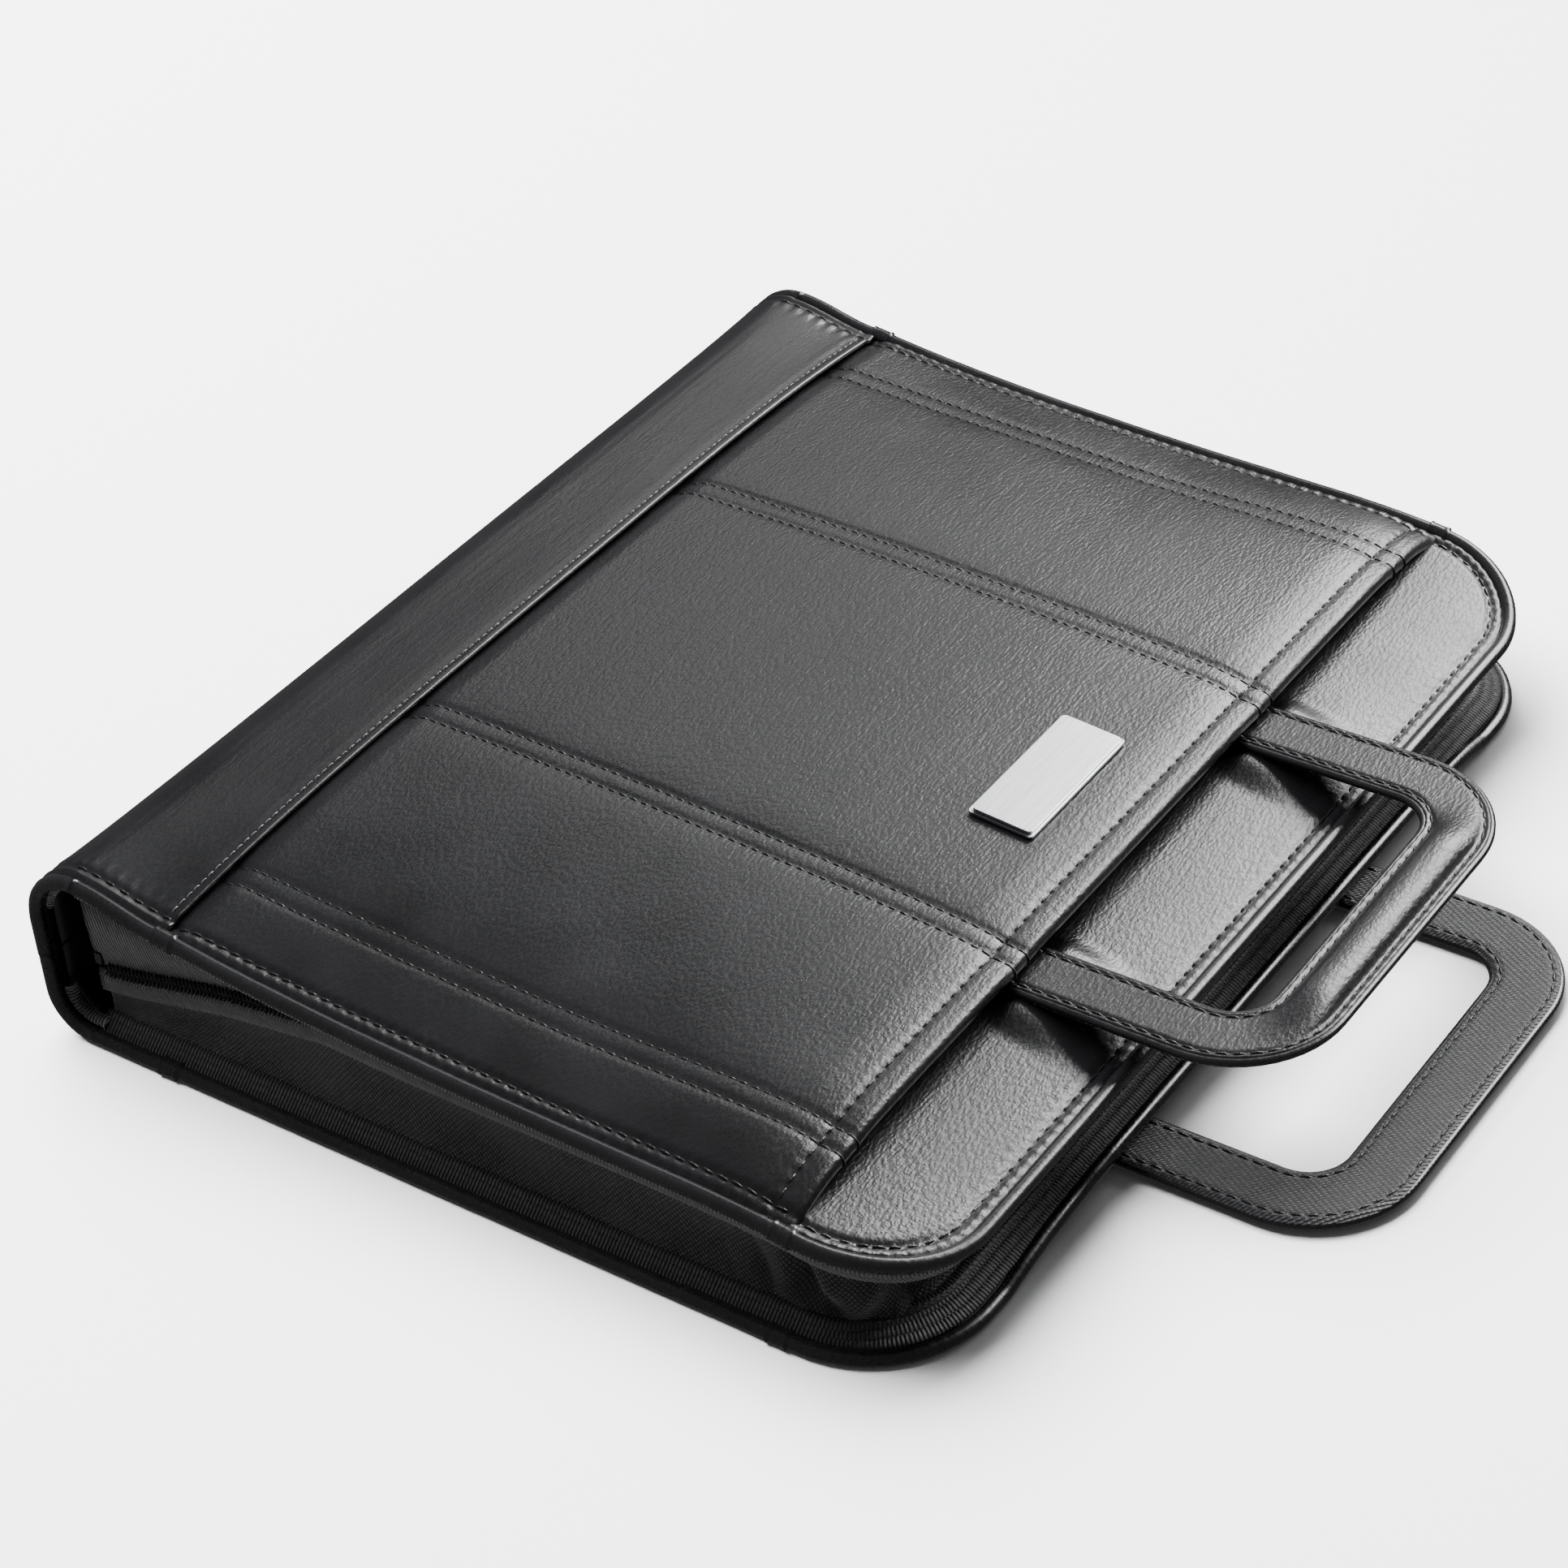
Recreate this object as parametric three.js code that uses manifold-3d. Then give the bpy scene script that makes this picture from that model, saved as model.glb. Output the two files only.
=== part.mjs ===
// A zip-round portfolio case in leather-look material: two padded covers, a boxy spine, a cloth
// gusset closed by a coil zip on three sides, a sliding carrying handle in a pocket on each cover,
// and a four-ring mechanism inside. Millimetres, +Z up. The case lies on its back cover: X runs
// from the spine to the opening edge, Y along the spine, and the origin is the middle of the face
// that the case lies on.
import * as THREE from 'three';
import { mergeVertices } from 'three/addons/utils/BufferGeometryUtils.js';
import Module from 'manifold-3d';

const wasm = await Module();
wasm.setup();

// ---------------------------------------------------------------- driving dimensions
const LENGTH = 350;              // along the spine
const WIDTH = 285;               // spine face to opening edge
const CORNER_RADIUS = 36;        // plan corners at the opening edge
const FRONT_SEAM = 49.5;         // spine face to the seam on the front cover
const FRONT_HEM = 246.5;         // spine face to the mouth of the front handle's pocket
const BACK_SEAM = 43;
const BACK_HEM = 243;

const PIPING_RADIUS = 2.2;
const LEATHER = 1.2;
const BOARD = 2;
const LINING = 1;
const GAP = 0.3;                 // left between pieces that touch

const SEAM_EDGE_Z = 51;          // front piping above the table, at the spine seam
const EDGE_SAG = 11;             // how far it settles along the case, most of it near the seam
const EDGE_SAG_LENGTH = 70;
const EDGE_END_FALL = 12;        // further fall at the opening edge
const EDGE_END_START = 60;       // X where that fall begins
const SPINE_EDGE_Z = 56.4;       // front piping where it meets the spine
const COVER_TOP_Z = 58.8;        // highest line of the front cover
const COVER_FALL = 9.5;          // fall of its middle from the seam to the pocket's mouth
const RIM_RISE = 1.8;            // front cover above its piping, along the rim
const POCKET_FLOOR_Z = 37.8;     // front cover under its handle
const POCKET_CLIMB = 14.7;       // how far the pocket's floor climbs towards the seam
const POCKET_CLIMB_END = -14;    // X where that climb begins
const BAND_FALL = 7.5;           // how far the band past the hem falls over its length
const BAND_LENGTH = 40;

const HANDLE_WIDTH = 141;
const HANDLE_LENGTH = 156;
const HANDLE_STRAP = 20;         // width of a leg, and of the grip
const HANDLE_CORNER = 32;
const HANDLE_LAYER = 1.2;
const FRONT_HANDLE_REACH = 185.5;
const FRONT_HANDLE_Z = 38.6;
const BACK_HANDLE_REACH = 211.5;
const BACK_HANDLE_Z = 1.9;
const BACK_HANDLE_SHIFT = -8;    // it lies a little to one side in its wide pocket

const BACK_POCKET = 1.4;         // thickness of the back pocket panel, which lies on the table
const BACK_FLOOR_Z = 5.7;        // back cover above its handle
const BACK_RIM_Z = 2.6;          // back cover along its rim

const ZIP_START_Z = 29;          // meeting line of the coils at the spine
const ZIP_RISE = 0.14;           // its rise for each millimetre along the case
const ZIP_BELOW_EDGE = 6;        // least distance below the front piping

const RING_SPACING = 80;
const RING_RADIUS = 12.5;        // to the middle of the wire
const RING_WIRE = 1.4;
const MECHANISM_X = -104;
const MECHANISM_LENGTH = 266;

// ---------------------------------------------------------------- places worked out from them
const HALF = LENGTH / 2;
const SPINE_X = -WIDTH / 2;
const OPEN_X = WIDTH / 2;
const SEAM_X = SPINE_X + FRONT_SEAM;
const HEM_X = SPINE_X + FRONT_HEM;
const BACK_SEAM_X = SPINE_X + BACK_SEAM;
const BACK_HEM_X = SPINE_X + BACK_HEM;
const FOLD_X = SPINE_X + 15.5;           // covers begin here, past the rounded spine corner
const PANEL_INSET = 2 * PIPING_RADIUS + 1;
const HALF_PANEL = HALF - PANEL_INSET;
const DISH_HALF = HALF - 4;              // half width over which the covers are dished or crowned

// ---------------------------------------------------------------- materials
function finish(color, roughness, metalness = 0) {
  return new THREE.MeshStandardMaterial({ color, roughness, metalness });
}
const LOOK = {
  leather: finish('#1b1b1d', 0.42),
  spineLeather: finish('#151517', 0.38),
  nylon: finish('#1c1c1f', 0.85),
  tape: finish('#202024', 0.8),
  coil: finish('#0c0c0e', 0.35),
  foam: finish('#3a3a3c', 0.95),
  board: finish('#5b5148', 0.9),
  steel: finish('#b9bcc0', 0.35, 1),
  nickel: finish('#c9cac8', 0.22, 1),
};

// ---------------------------------------------------------------- solids
function toManifold(geometry) {
  const bare = geometry.clone();
  for (const name of Object.keys(bare.attributes)) {
    if (name !== 'position') bare.deleteAttribute(name);
  }
  const merged = mergeVertices(bare, 1e-4);
  return new wasm.Manifold(new wasm.Mesh({
    numProp: 3,
    vertProperties: new Float32Array(merged.attributes.position.array),
    triVerts: new Uint32Array(merged.index.array),
  }));
}

function toGeometry(manifold) {
  const mesh = manifold.getMesh();
  const geometry = new THREE.BufferGeometry();
  geometry.setAttribute('position', new THREE.Float32BufferAttribute(mesh.vertProperties, 3));
  geometry.setIndex(Array.from(mesh.triVerts));
  geometry.computeVertexNormals();
  return geometry;
}

function cut(base, ...tools) {
  return toGeometry(tools.reduce((left, tool) => left.subtract(toManifold(tool)), toManifold(base)));
}

function join(...parts) {
  return toGeometry(parts.map(toManifold).reduce((sum, part) => sum.add(part)));
}

function common(base, tool) {
  return toGeometry(toManifold(base).intersect(toManifold(tool)));
}

function block(x0, x1, y0, y1, z0, z1) {
  const box = new THREE.BoxGeometry(x1 - x0, y1 - y0, z1 - z0);
  return box.translate((x0 + x1) / 2, (y0 + y1) / 2, (z0 + z1) / 2);
}

// A plan outline raised from z0 to z1.
function raise(shape, z0, z1, curveSegments = 6) {
  const extrusion = new THREE.ExtrudeGeometry(shape, { depth: z1 - z0, bevelEnabled: false, curveSegments });
  return extrusion.translate(0, 0, z0);
}

// A side profile, drawn as (x, z), run from y0 to y1.
function runAlongY(profile, y0, y1, curveSegments = 6) {
  const extrusion = new THREE.ExtrudeGeometry(profile, { depth: y1 - y0, bevelEnabled: false, curveSegments });
  return extrusion.rotateX(Math.PI / 2).translate(0, y1, 0);
}

function circleSection(radius, sides) {
  const section = new THREE.Shape();
  for (let i = 0; i < sides; i += 1) {
    const turn = (2 * Math.PI * i) / sides;
    const point = [radius * Math.cos(turn), radius * Math.sin(turn)];
    if (i === 0) section.moveTo(...point);
    else section.lineTo(...point);
  }
  section.closePath();
  return section;
}

function tube(points, radius, steps, sides = 8) {
  const path = new THREE.CatmullRomCurve3(points, false, 'centripetal');
  const settings = { extrudePath: path, steps, bevelEnabled: false };
  return new THREE.ExtrudeGeometry(circleSection(radius, sides), settings);
}

// ---------------------------------------------------------------- the case's own surfaces
function smoothStep(from, to, value) {
  const t = Math.min(1, Math.max(0, (value - from) / (to - from)));
  return t * t * (3 - 2 * t);
}

// 1 along the middle of a cover, falling to 0 at its two short edges.
function crown(y) {
  return 1 - Math.min(1, Math.abs(y) / DISH_HALF) ** 4;
}

// Height of the front cover's piping: it settles past the seam, then falls at the opening edge.
function edgeZ(x) {
  if (x < SEAM_X) {
    return SEAM_EDGE_Z + (SPINE_EDGE_Z - SEAM_EDGE_Z) * ((SEAM_X - x) / (SEAM_X - FOLD_X)) ** 1.5;
  }
  const settled = 1 - Math.exp(-(x - SEAM_X) / EDGE_SAG_LENGTH);
  const past = Math.max(0, x - EDGE_END_START) / (OPEN_X - EDGE_END_START);
  return SEAM_EDGE_Z - EDGE_SAG * settled - EDGE_END_FALL * past ** 3;
}

// Outer face of the front cover's pocket panel and spine flap.
function frontTopZ(x, y) {
  const rim = edgeZ(x) + RIM_RISE;
  const past = Math.max(0, x - SEAM_X) / (HEM_X - SEAM_X);
  const middle = COVER_TOP_Z - COVER_FALL * past ** 2.2;
  return rim + (middle - rim) * crown(y);
}

// Outer face of the front base panel: the floor of the handle pocket, then the band past the hem.
function frontFloorZ(x, y) {
  const bandStart = OPEN_X - BAND_LENGTH - PANEL_INSET;
  const spineRise = POCKET_CLIMB * (1 - smoothStep(SEAM_X, POCKET_CLIMB_END, x));
  const bandFall = BAND_FALL * (Math.max(0, x - bandStart) / BAND_LENGTH) ** 1.5;
  const middle = POCKET_FLOOR_Z + spineRise - bandFall;
  return edgeZ(x) + (middle - edgeZ(x)) * crown(y);
}

// Lowest face of the back base panel, lifted clear of the back handle.
function backFloorZ(x, y) {
  return BACK_RIM_Z + (BACK_FLOOR_Z - BACK_RIM_Z) * crown(y);
}

// Height of the meeting line of the two zip coils.
function zipZ(x) {
  return Math.min(ZIP_START_Z + ZIP_RISE * (x - FOLD_X - 7), edgeZ(x) - ZIP_BELOW_EDGE);
}
const ZIP_SLOPE = Math.atan(ZIP_RISE);

// Plan outline of the case set in by some distance, open side square at startX.
function plan(inset, startX) {
  const radius = CORNER_RADIUS - inset;
  const right = OPEN_X - inset;
  const side = HALF - inset;
  const outline = new THREE.Shape();
  outline.moveTo(startX, -side);
  outline.lineTo(right - radius, -side);
  outline.absarc(right - radius, -side + radius, radius, -Math.PI / 2, 0, false);
  outline.lineTo(right, side - radius);
  outline.absarc(right - radius, side - radius, radius, 0, Math.PI / 2, false);
  outline.lineTo(startX, side);
  outline.closePath();
  return outline;
}

// Everything in the case's plan below a surface given by its height.
function groundBelow(heightAt) {
  const along = 10;
  const across = 8;
  const bottom = -20;
  const ground = new THREE.BoxGeometry(OPEN_X - FOLD_X, LENGTH, 2, along, across, 1);
  ground.translate((OPEN_X + FOLD_X) / 2, 0, 0);
  const place = ground.attributes.position;
  for (let i = 0; i < place.count; i += 1) {
    place.setZ(i, place.getZ(i) > 0 ? heightAt(place.getX(i), place.getY(i)) : bottom);
  }
  return ground;
}

// A sheet whose upper face follows heightAt, from one X to another, in the plan set in by inset.
function bentSheet({ from, to, inset, heightAt, thickness }) {
  const sheet = cut(groundBelow(heightAt), groundBelow((x, y) => heightAt(x, y) - thickness));
  const trimmed = common(sheet, raise(plan(inset, from), -10, 90));
  return to > OPEN_X - CORNER_RADIUS ? trimmed : common(trimmed, block(from - 1, to, -HALF, HALF, -10, 90));
}

// A wall that follows the three open sides, between two insets, from lowAt(x) up to highAt(x).
function edgeWall({ outer, inner, from, lowAt, highAt, steps = 14 }) {
  const ring = cut(
    raise(plan(outer, from), -5, 80, 5),
    raise(plan(inner, from - 1), -6, 81, 5),
  );
  const window = new THREE.Shape();
  const stations = [];
  for (let i = 0; i <= steps; i += 1) {
    stations.push(from - 0.5 + ((OPEN_X - from + 1) * i) / steps);
  }
  stations.forEach((x, i) => {
    if (i === 0) window.moveTo(x, lowAt(x));
    else window.lineTo(x, lowAt(x));
  });
  for (const x of stations.reverse()) {
    window.lineTo(x, highAt(x));
  }
  window.closePath();
  return common(ring, runAlongY(window, -HALF - 1, HALF + 1));
}

// The line of a cover's piping, from the spine round the three open sides.
function pipingLine(heightAt, from) {
  const radius = CORNER_RADIUS - PIPING_RADIUS;
  const side = HALF - PIPING_RADIUS;
  const cornerX = OPEN_X - CORNER_RADIUS;
  const cornerY = HALF - CORNER_RADIUS;
  const flat = [];
  const straightSteps = 14;
  for (let i = 0; i < straightSteps; i += 1) {
    flat.push([from + ((cornerX - from) * i) / straightSteps, -side]);
  }
  for (let i = 0; i < 7; i += 1) {
    const turn = -Math.PI / 2 + (Math.PI / 2) * (i / 6);
    flat.push([cornerX + radius * Math.cos(turn), -cornerY + radius * Math.sin(turn)]);
  }
  for (let i = 1; i <= 6; i += 1) {
    flat.push([OPEN_X - PIPING_RADIUS, -cornerY + (cornerY * i) / 6.5]);
  }
  const mirrored = flat.map(([x, y]) => [x, -y]).reverse();
  return [...flat, ...mirrored].map(([x, y]) => new THREE.Vector3(x, y, heightAt(x, y)));
}

// ---------------------------------------------------------------- scene graph
const portfolioCase = new THREE.Group();

function add(name, geometry, material, parent = portfolioCase) {
  const mesh = new THREE.Mesh(geometry, material.clone());
  mesh.name = name;
  parent.add(mesh);
  return mesh;
}

// ---------------------------------------------------------------- front cover
function makeFrontCover() {
  add('front_flap', bentSheet({
    from: FOLD_X, to: SEAM_X - GAP, inset: PANEL_INSET, heightAt: frontTopZ, thickness: LEATHER,
  }), LOOK.spineLeather);
  add('front_pocket_panel', bentSheet({
    from: SEAM_X, to: HEM_X - 0.9, inset: PANEL_INSET, heightAt: frontTopZ, thickness: LEATHER,
  }), LOOK.leather);
  add('front_pocket_padding', bentSheet({
    from: SEAM_X + 24,
    to: HEM_X - 12,
    inset: 34,
    heightAt: (x, y) => frontTopZ(x, y) - LEATHER - 2 * GAP,
    thickness: 2.2,
  }), LOOK.foam);

  const layers = [
    ['front_base_panel', SEAM_X + GAP, PANEL_INSET, LEATHER, LOOK.leather],
    ['front_board', FOLD_X + 0.8, 10, BOARD, LOOK.board],
    ['front_lining', FOLD_X + 0.8, 10, LINING, LOOK.nylon],
    ['inner_pocket', -60, 11, 0.8, LOOK.nylon],
  ];
  let depth = 0;
  for (const [name, from, inset, thickness, look] of layers) {
    const below = depth;
    add(name, bentSheet({
      from, to: OPEN_X - inset, inset, heightAt: (x, y) => frontFloorZ(x, y) - below, thickness,
    }), look);
    depth += thickness + GAP;
  }

  add('front_piping', tube(pipingLine((x) => edgeZ(x), FOLD_X + 0.9), PIPING_RADIUS, 54, 6), LOOK.leather);
  const hem = [];
  for (let i = 0; i <= 12; i += 1) {
    const y = (HALF_PANEL - 1) * (i / 6 - 1);
    hem.push(new THREE.Vector3(HEM_X + 0.9, y, frontTopZ(HEM_X, y) - 0.6));
  }
  add('front_pocket_hem', tube(hem, 1.5, 16), LOOK.leather);
  add('front_edge_binding', edgeWall({
    outer: 4.7, inner: 6.1, from: FOLD_X + 1.5, lowAt: (x) => edgeZ(x) - 6, highAt: (x) => edgeZ(x) - 2.6,
  }), LOOK.tape);
}

// The name plate: a thin steel plate over a slightly larger one, both plain.
function makeBadge() {
  const badge = new THREE.Group();
  const x = 75;
  const slope = Math.atan2(frontTopZ(x - 10, 0) - frontTopZ(x + 10, 0), 20);
  badge.position.set(x, -1, frontTopZ(x, 0));
  badge.rotation.y = slope;
  portfolioCase.add(badge);
  const plates = [['badge_backing', 20, 49.5, 0.5], ['badge_plate', 18.4, 47.9, 1.5]];
  for (const [name, width, length, lift] of plates) {
    const round = 1.2;
    const outline = new THREE.Shape();
    outline.moveTo(-width / 2 + round, -length / 2);
    outline.lineTo(width / 2 - round, -length / 2);
    outline.absarc(width / 2 - round, -length / 2 + round, round, -Math.PI / 2, 0, false);
    outline.absarc(width / 2 - round, length / 2 - round, round, 0, Math.PI / 2, false);
    outline.absarc(-width / 2 + round, length / 2 - round, round, Math.PI / 2, Math.PI, false);
    outline.absarc(-width / 2 + round, -length / 2 + round, round, Math.PI, 1.5 * Math.PI, false);
    add(name, raise(outline, lift, lift + 0.7, 3), LOOK.steel, badge);
  }
}

// ---------------------------------------------------------------- back cover
function makeBackCover() {
  const side = HALF_PANEL;
  const hemX = BACK_HEM_X;
  add('back_flap', block(FOLD_X, BACK_SEAM_X - GAP, -side, side, 0, BACK_POCKET), LOOK.spineLeather);
  add('back_pocket_panel', block(BACK_SEAM_X, hemX, -side, side, 0, BACK_POCKET), LOOK.leather);
  add('back_pocket_hem', block(hemX + GAP, hemX + 2.2, -side, side, 0.1, BACK_POCKET), LOOK.leather);

  const layers = [
    ['back_base_panel', BACK_SEAM_X + GAP, PANEL_INSET, LEATHER, LOOK.leather],
    ['back_board', FOLD_X + 0.8, 10, BOARD, LOOK.board],
    ['back_lining', FOLD_X + 0.8, 10, LINING, LOOK.nylon],
  ];
  let height = 0;
  for (const [name, from, inset, thickness, look] of layers) {
    height += thickness;
    const top = height;
    add(name, bentSheet({
      from, to: OPEN_X - inset, inset, heightAt: (x, y) => backFloorZ(x, y) + top, thickness,
    }), look);
    height += GAP;
  }

  // The piping lies near the table and arches over the handle at the opening edge.
  const arch = (x, y) => {
    const span = HALF - CORNER_RADIUS - 8;
    const raised = x > OPEN_X - 4 ? Math.max(0, 1 - (Math.abs(y) / span) ** 6) : 0;
    return PIPING_RADIUS + 0.2 + 5.4 * raised;
  };
  add('back_piping', tube(pipingLine(arch, FOLD_X + 0.9), PIPING_RADIUS, 60, 6), LOOK.leather);
  add('back_edge_binding', edgeWall({
    outer: 4.8, inner: 7.2, from: FOLD_X + 1.5, lowAt: () => 7.9, highAt: () => 13, steps: 2,
  }), LOOK.tape);
}

// ---------------------------------------------------------------- spine
const SPINE_TOP_ARC = 15;
const SPINE_BOTTOM_ARC = 14.5;
const SPINE_END_X = FOLD_X - 1.4;

function spinePath(outline, depth, reverse) {
  const top = { x: SPINE_X + SPINE_TOP_ARC, z: SPINE_EDGE_Z + PIPING_RADIUS - SPINE_TOP_ARC };
  const bottom = { x: SPINE_X + SPINE_BOTTOM_ARC, z: SPINE_BOTTOM_ARC };
  const topStart = Math.acos((SPINE_END_X - top.x) / (SPINE_TOP_ARC - depth));
  const bottomEnd = 2 * Math.PI - Math.acos((SPINE_END_X - bottom.x) / (SPINE_BOTTOM_ARC - depth));
  if (reverse) {
    outline.absarc(bottom.x, bottom.z, SPINE_BOTTOM_ARC - depth, bottomEnd, Math.PI, true);
    outline.absarc(top.x, top.z, SPINE_TOP_ARC - depth, Math.PI, topStart, true);
  } else {
    outline.absarc(top.x, top.z, SPINE_TOP_ARC - depth, topStart, Math.PI, false);
    outline.absarc(bottom.x, bottom.z, SPINE_BOTTOM_ARC - depth, Math.PI, bottomEnd, false);
  }
}

function makeSpine() {
  const profile = new THREE.Shape();
  spinePath(profile, 0, false);
  spinePath(profile, LEATHER, true);
  profile.closePath();
  add('spine_leather', runAlongY(profile, -HALF_PANEL, HALF_PANEL, 7), LOOK.spineLeather);
  const boardX = SPINE_X + LEATHER + GAP;
  const liningX = boardX + BOARD + GAP;
  add('spine_board', block(boardX, boardX + BOARD, -HALF_PANEL + 6, HALF_PANEL - 6, 15, 43), LOOK.board);
  add('spine_lining', block(liningX, liningX + LINING, -HALF_PANEL + 2, HALF_PANEL - 2, 9, 49), LOOK.nylon);

  for (const [name, side] of [['spine_piping_near', -1], ['spine_piping_far', 1]]) {
    const line = new THREE.Path();
    spinePath(line, PIPING_RADIUS, false);
    const y = side * (HALF - PIPING_RADIUS);
    const points = line.getSpacedPoints(16).map((point) => new THREE.Vector3(point.x, y, point.y));
    add(name, tube(points, PIPING_RADIUS, 18), LOOK.leather);
  }
}

// ---------------------------------------------------------------- gusset and zip
const TAPE = { outer: 7, inner: 7.6 };
const COIL = { outer: 6.4, inner: 8.2 };
const SLIDER_LENGTH = 12;
const SLIDER_X = -116.4;

function makeGussetAndZip() {
  add('gusset', edgeWall({
    outer: 7.9, inner: 8.7, from: FOLD_X + 1.2, lowAt: () => 13.4, highAt: (x) => zipZ(x) - 4.4,
  }), LOOK.nylon);
  add('lower_zip_tape', edgeWall({
    ...TAPE, from: FOLD_X + 2, lowAt: (x) => Math.max(13.4, zipZ(x) - 14), highAt: (x) => zipZ(x) - 2.4,
  }), LOOK.tape);
  add('lower_coil', edgeWall({
    ...COIL, from: FOLD_X + 4, lowAt: (x) => zipZ(x) - 2.1, highAt: (x) => zipZ(x) - 0.6,
  }), LOOK.coil);

  // The closed end of the zip leaves room for its slider on the far side.
  const upperTape = edgeWall({
    ...TAPE, from: FOLD_X + 2, lowAt: (x) => zipZ(x) + 2.4, highAt: (x) => edgeZ(x) - 3,
  });
  const upperCoil = edgeWall({
    ...COIL, from: FOLD_X + 4, lowAt: (x) => zipZ(x) + 0.6, highAt: (x) => zipZ(x) + 2.1,
  });
  const parking = block(SPINE_X, SLIDER_X + SLIDER_LENGTH / 2 + 0.6, HALF - 20, HALF, 0, 36);
  add('upper_zip_tape', cut(upperTape, parking), LOOK.tape);
  add('upper_coil', cut(upperCoil, parking), LOOK.coil);

  for (const [name, side] of [['zip_stop_near', -1], ['zip_stop_far', 1]]) {
    const y = side * (HALF - 7.3);
    const x = FOLD_X + 2.6;
    add(name, block(x - 1.2, x + 1.1, y - 1.2, y + 1.2, zipZ(x) - 2.1, zipZ(x) + 1.6), LOOK.nickel);
  }
}

const PIN_Y = 4.9;                       // pull tab's pin, out from the middle of the coils

function rodAlongX(radius, x0, x1, y) {
  const rod = new THREE.CylinderGeometry(radius, radius, x1 - x0, 12);
  return rod.rotateZ(Math.PI / 2).translate((x0 + x1) / 2, y, 0);
}

// Slider and pull tab, in a frame that lies along the zip.
function makeSlider() {
  const zip = new THREE.Group();
  zip.position.set(SLIDER_X, HALF - 7.3, zipZ(SLIDER_X));
  zip.rotation.y = -ZIP_SLOPE;
  portfolioCase.add(zip);
  const half = SLIDER_LENGTH / 2;
  const plate = new THREE.Shape();
  plate.moveTo(-half, -2.6);
  plate.lineTo(half * 0.3, -3.6);
  plate.lineTo(half, -3);
  plate.lineTo(half, 3);
  plate.lineTo(half * 0.3, 3.6);
  plate.lineTo(-half, 2.6);
  plate.closePath();
  const outerPlate = runAlongY(plate, 1.4, 2.5);
  const innerPlate = runAlongY(plate, -2.4, -1.3);
  const post = block(-half, -half + 3.4, -1.6, 1.6, -0.35, 0.35);
  const legs = [-1, 1].map((end) => block(end * 3.4 - 0.6, end * 3.4 + 0.6, 2.3, PIN_Y + 1, -0.9, 0.9));
  const pin = rodAlongX(0.8, -3.4, 3.4, PIN_Y);
  add('zip_slider', join(outerPlate, innerPlate, post, pin, ...legs), LOOK.nickel, zip);

  const tab = new THREE.Shape();
  tab.moveTo(-1.9, 0);
  tab.lineTo(-1.9, -3);
  tab.lineTo(-3.3, -5);
  tab.lineTo(-3.3, -12);
  tab.absarc(0, -12, 3.3, Math.PI, 2 * Math.PI, false);
  tab.lineTo(3.3, -5);
  tab.lineTo(1.9, -3);
  tab.lineTo(1.9, 0);
  tab.closePath();
  const knuckle = rodAlongX(2, -2.3, 2.3, PIN_Y);
  const bore = rodAlongX(1.2, -4, 4, PIN_Y);
  add('zip_puller', cut(join(runAlongY(tab, PIN_Y - 0.6, PIN_Y + 0.6), knuckle), bore), LOOK.nickel, zip);
}

// ---------------------------------------------------------------- carrying handles
// Plan of a handle: two legs joined by the grip, with rounded outer and inner corners.
function handlePlan(reach, trim, legEnd) {
  const outerHalf = HANDLE_WIDTH / 2 - trim;
  const innerHalf = HANDLE_WIDTH / 2 - HANDLE_STRAP + trim;
  const outerX = reach - trim;
  const innerX = reach - HANDLE_STRAP + trim;
  const outerRound = HANDLE_CORNER - trim;
  const innerRound = HANDLE_CORNER - HANDLE_STRAP + trim;
  const shape = new THREE.Shape();
  shape.moveTo(legEnd, -outerHalf);
  shape.absarc(outerX - outerRound, -outerHalf + outerRound, outerRound, -Math.PI / 2, 0, false);
  shape.absarc(outerX - outerRound, outerHalf - outerRound, outerRound, 0, Math.PI / 2, false);
  shape.lineTo(legEnd, outerHalf);
  shape.lineTo(legEnd, innerHalf);
  shape.absarc(innerX - innerRound, innerHalf - innerRound, innerRound, Math.PI / 2, 0, true);
  shape.absarc(innerX - innerRound, -innerHalf + innerRound, innerRound, 0, -Math.PI / 2, true);
  shape.lineTo(legEnd, -innerHalf);
  shape.closePath();
  return shape;
}

// One edge of a handle as a line for its piping.
function handleEdge(reach, half, round, legEnd, z) {
  const points = [new THREE.Vector3(legEnd, -half, z)];
  points.push(new THREE.Vector3((legEnd + reach - round) / 2, -half, z));
  for (const turn of [-Math.PI / 2, 0]) {
    const side = turn < 0 ? -1 : 1;
    for (let i = 0; i <= 5; i += 1) {
      const angle = turn + (Math.PI / 2) * (i / 5);
      const x = reach - round + round * Math.cos(angle);
      points.push(new THREE.Vector3(x, side * (half - round) + round * Math.sin(angle), z));
    }
    if (side < 0) {
      for (const share of [-0.6, 0, 0.6]) {
        points.push(new THREE.Vector3(reach, share * (half - round), z));
      }
    }
  }
  points.push(new THREE.Vector3((legEnd + reach - round) / 2, half, z));
  points.push(new THREE.Vector3(legEnd, half, z));
  return points;
}

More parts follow.
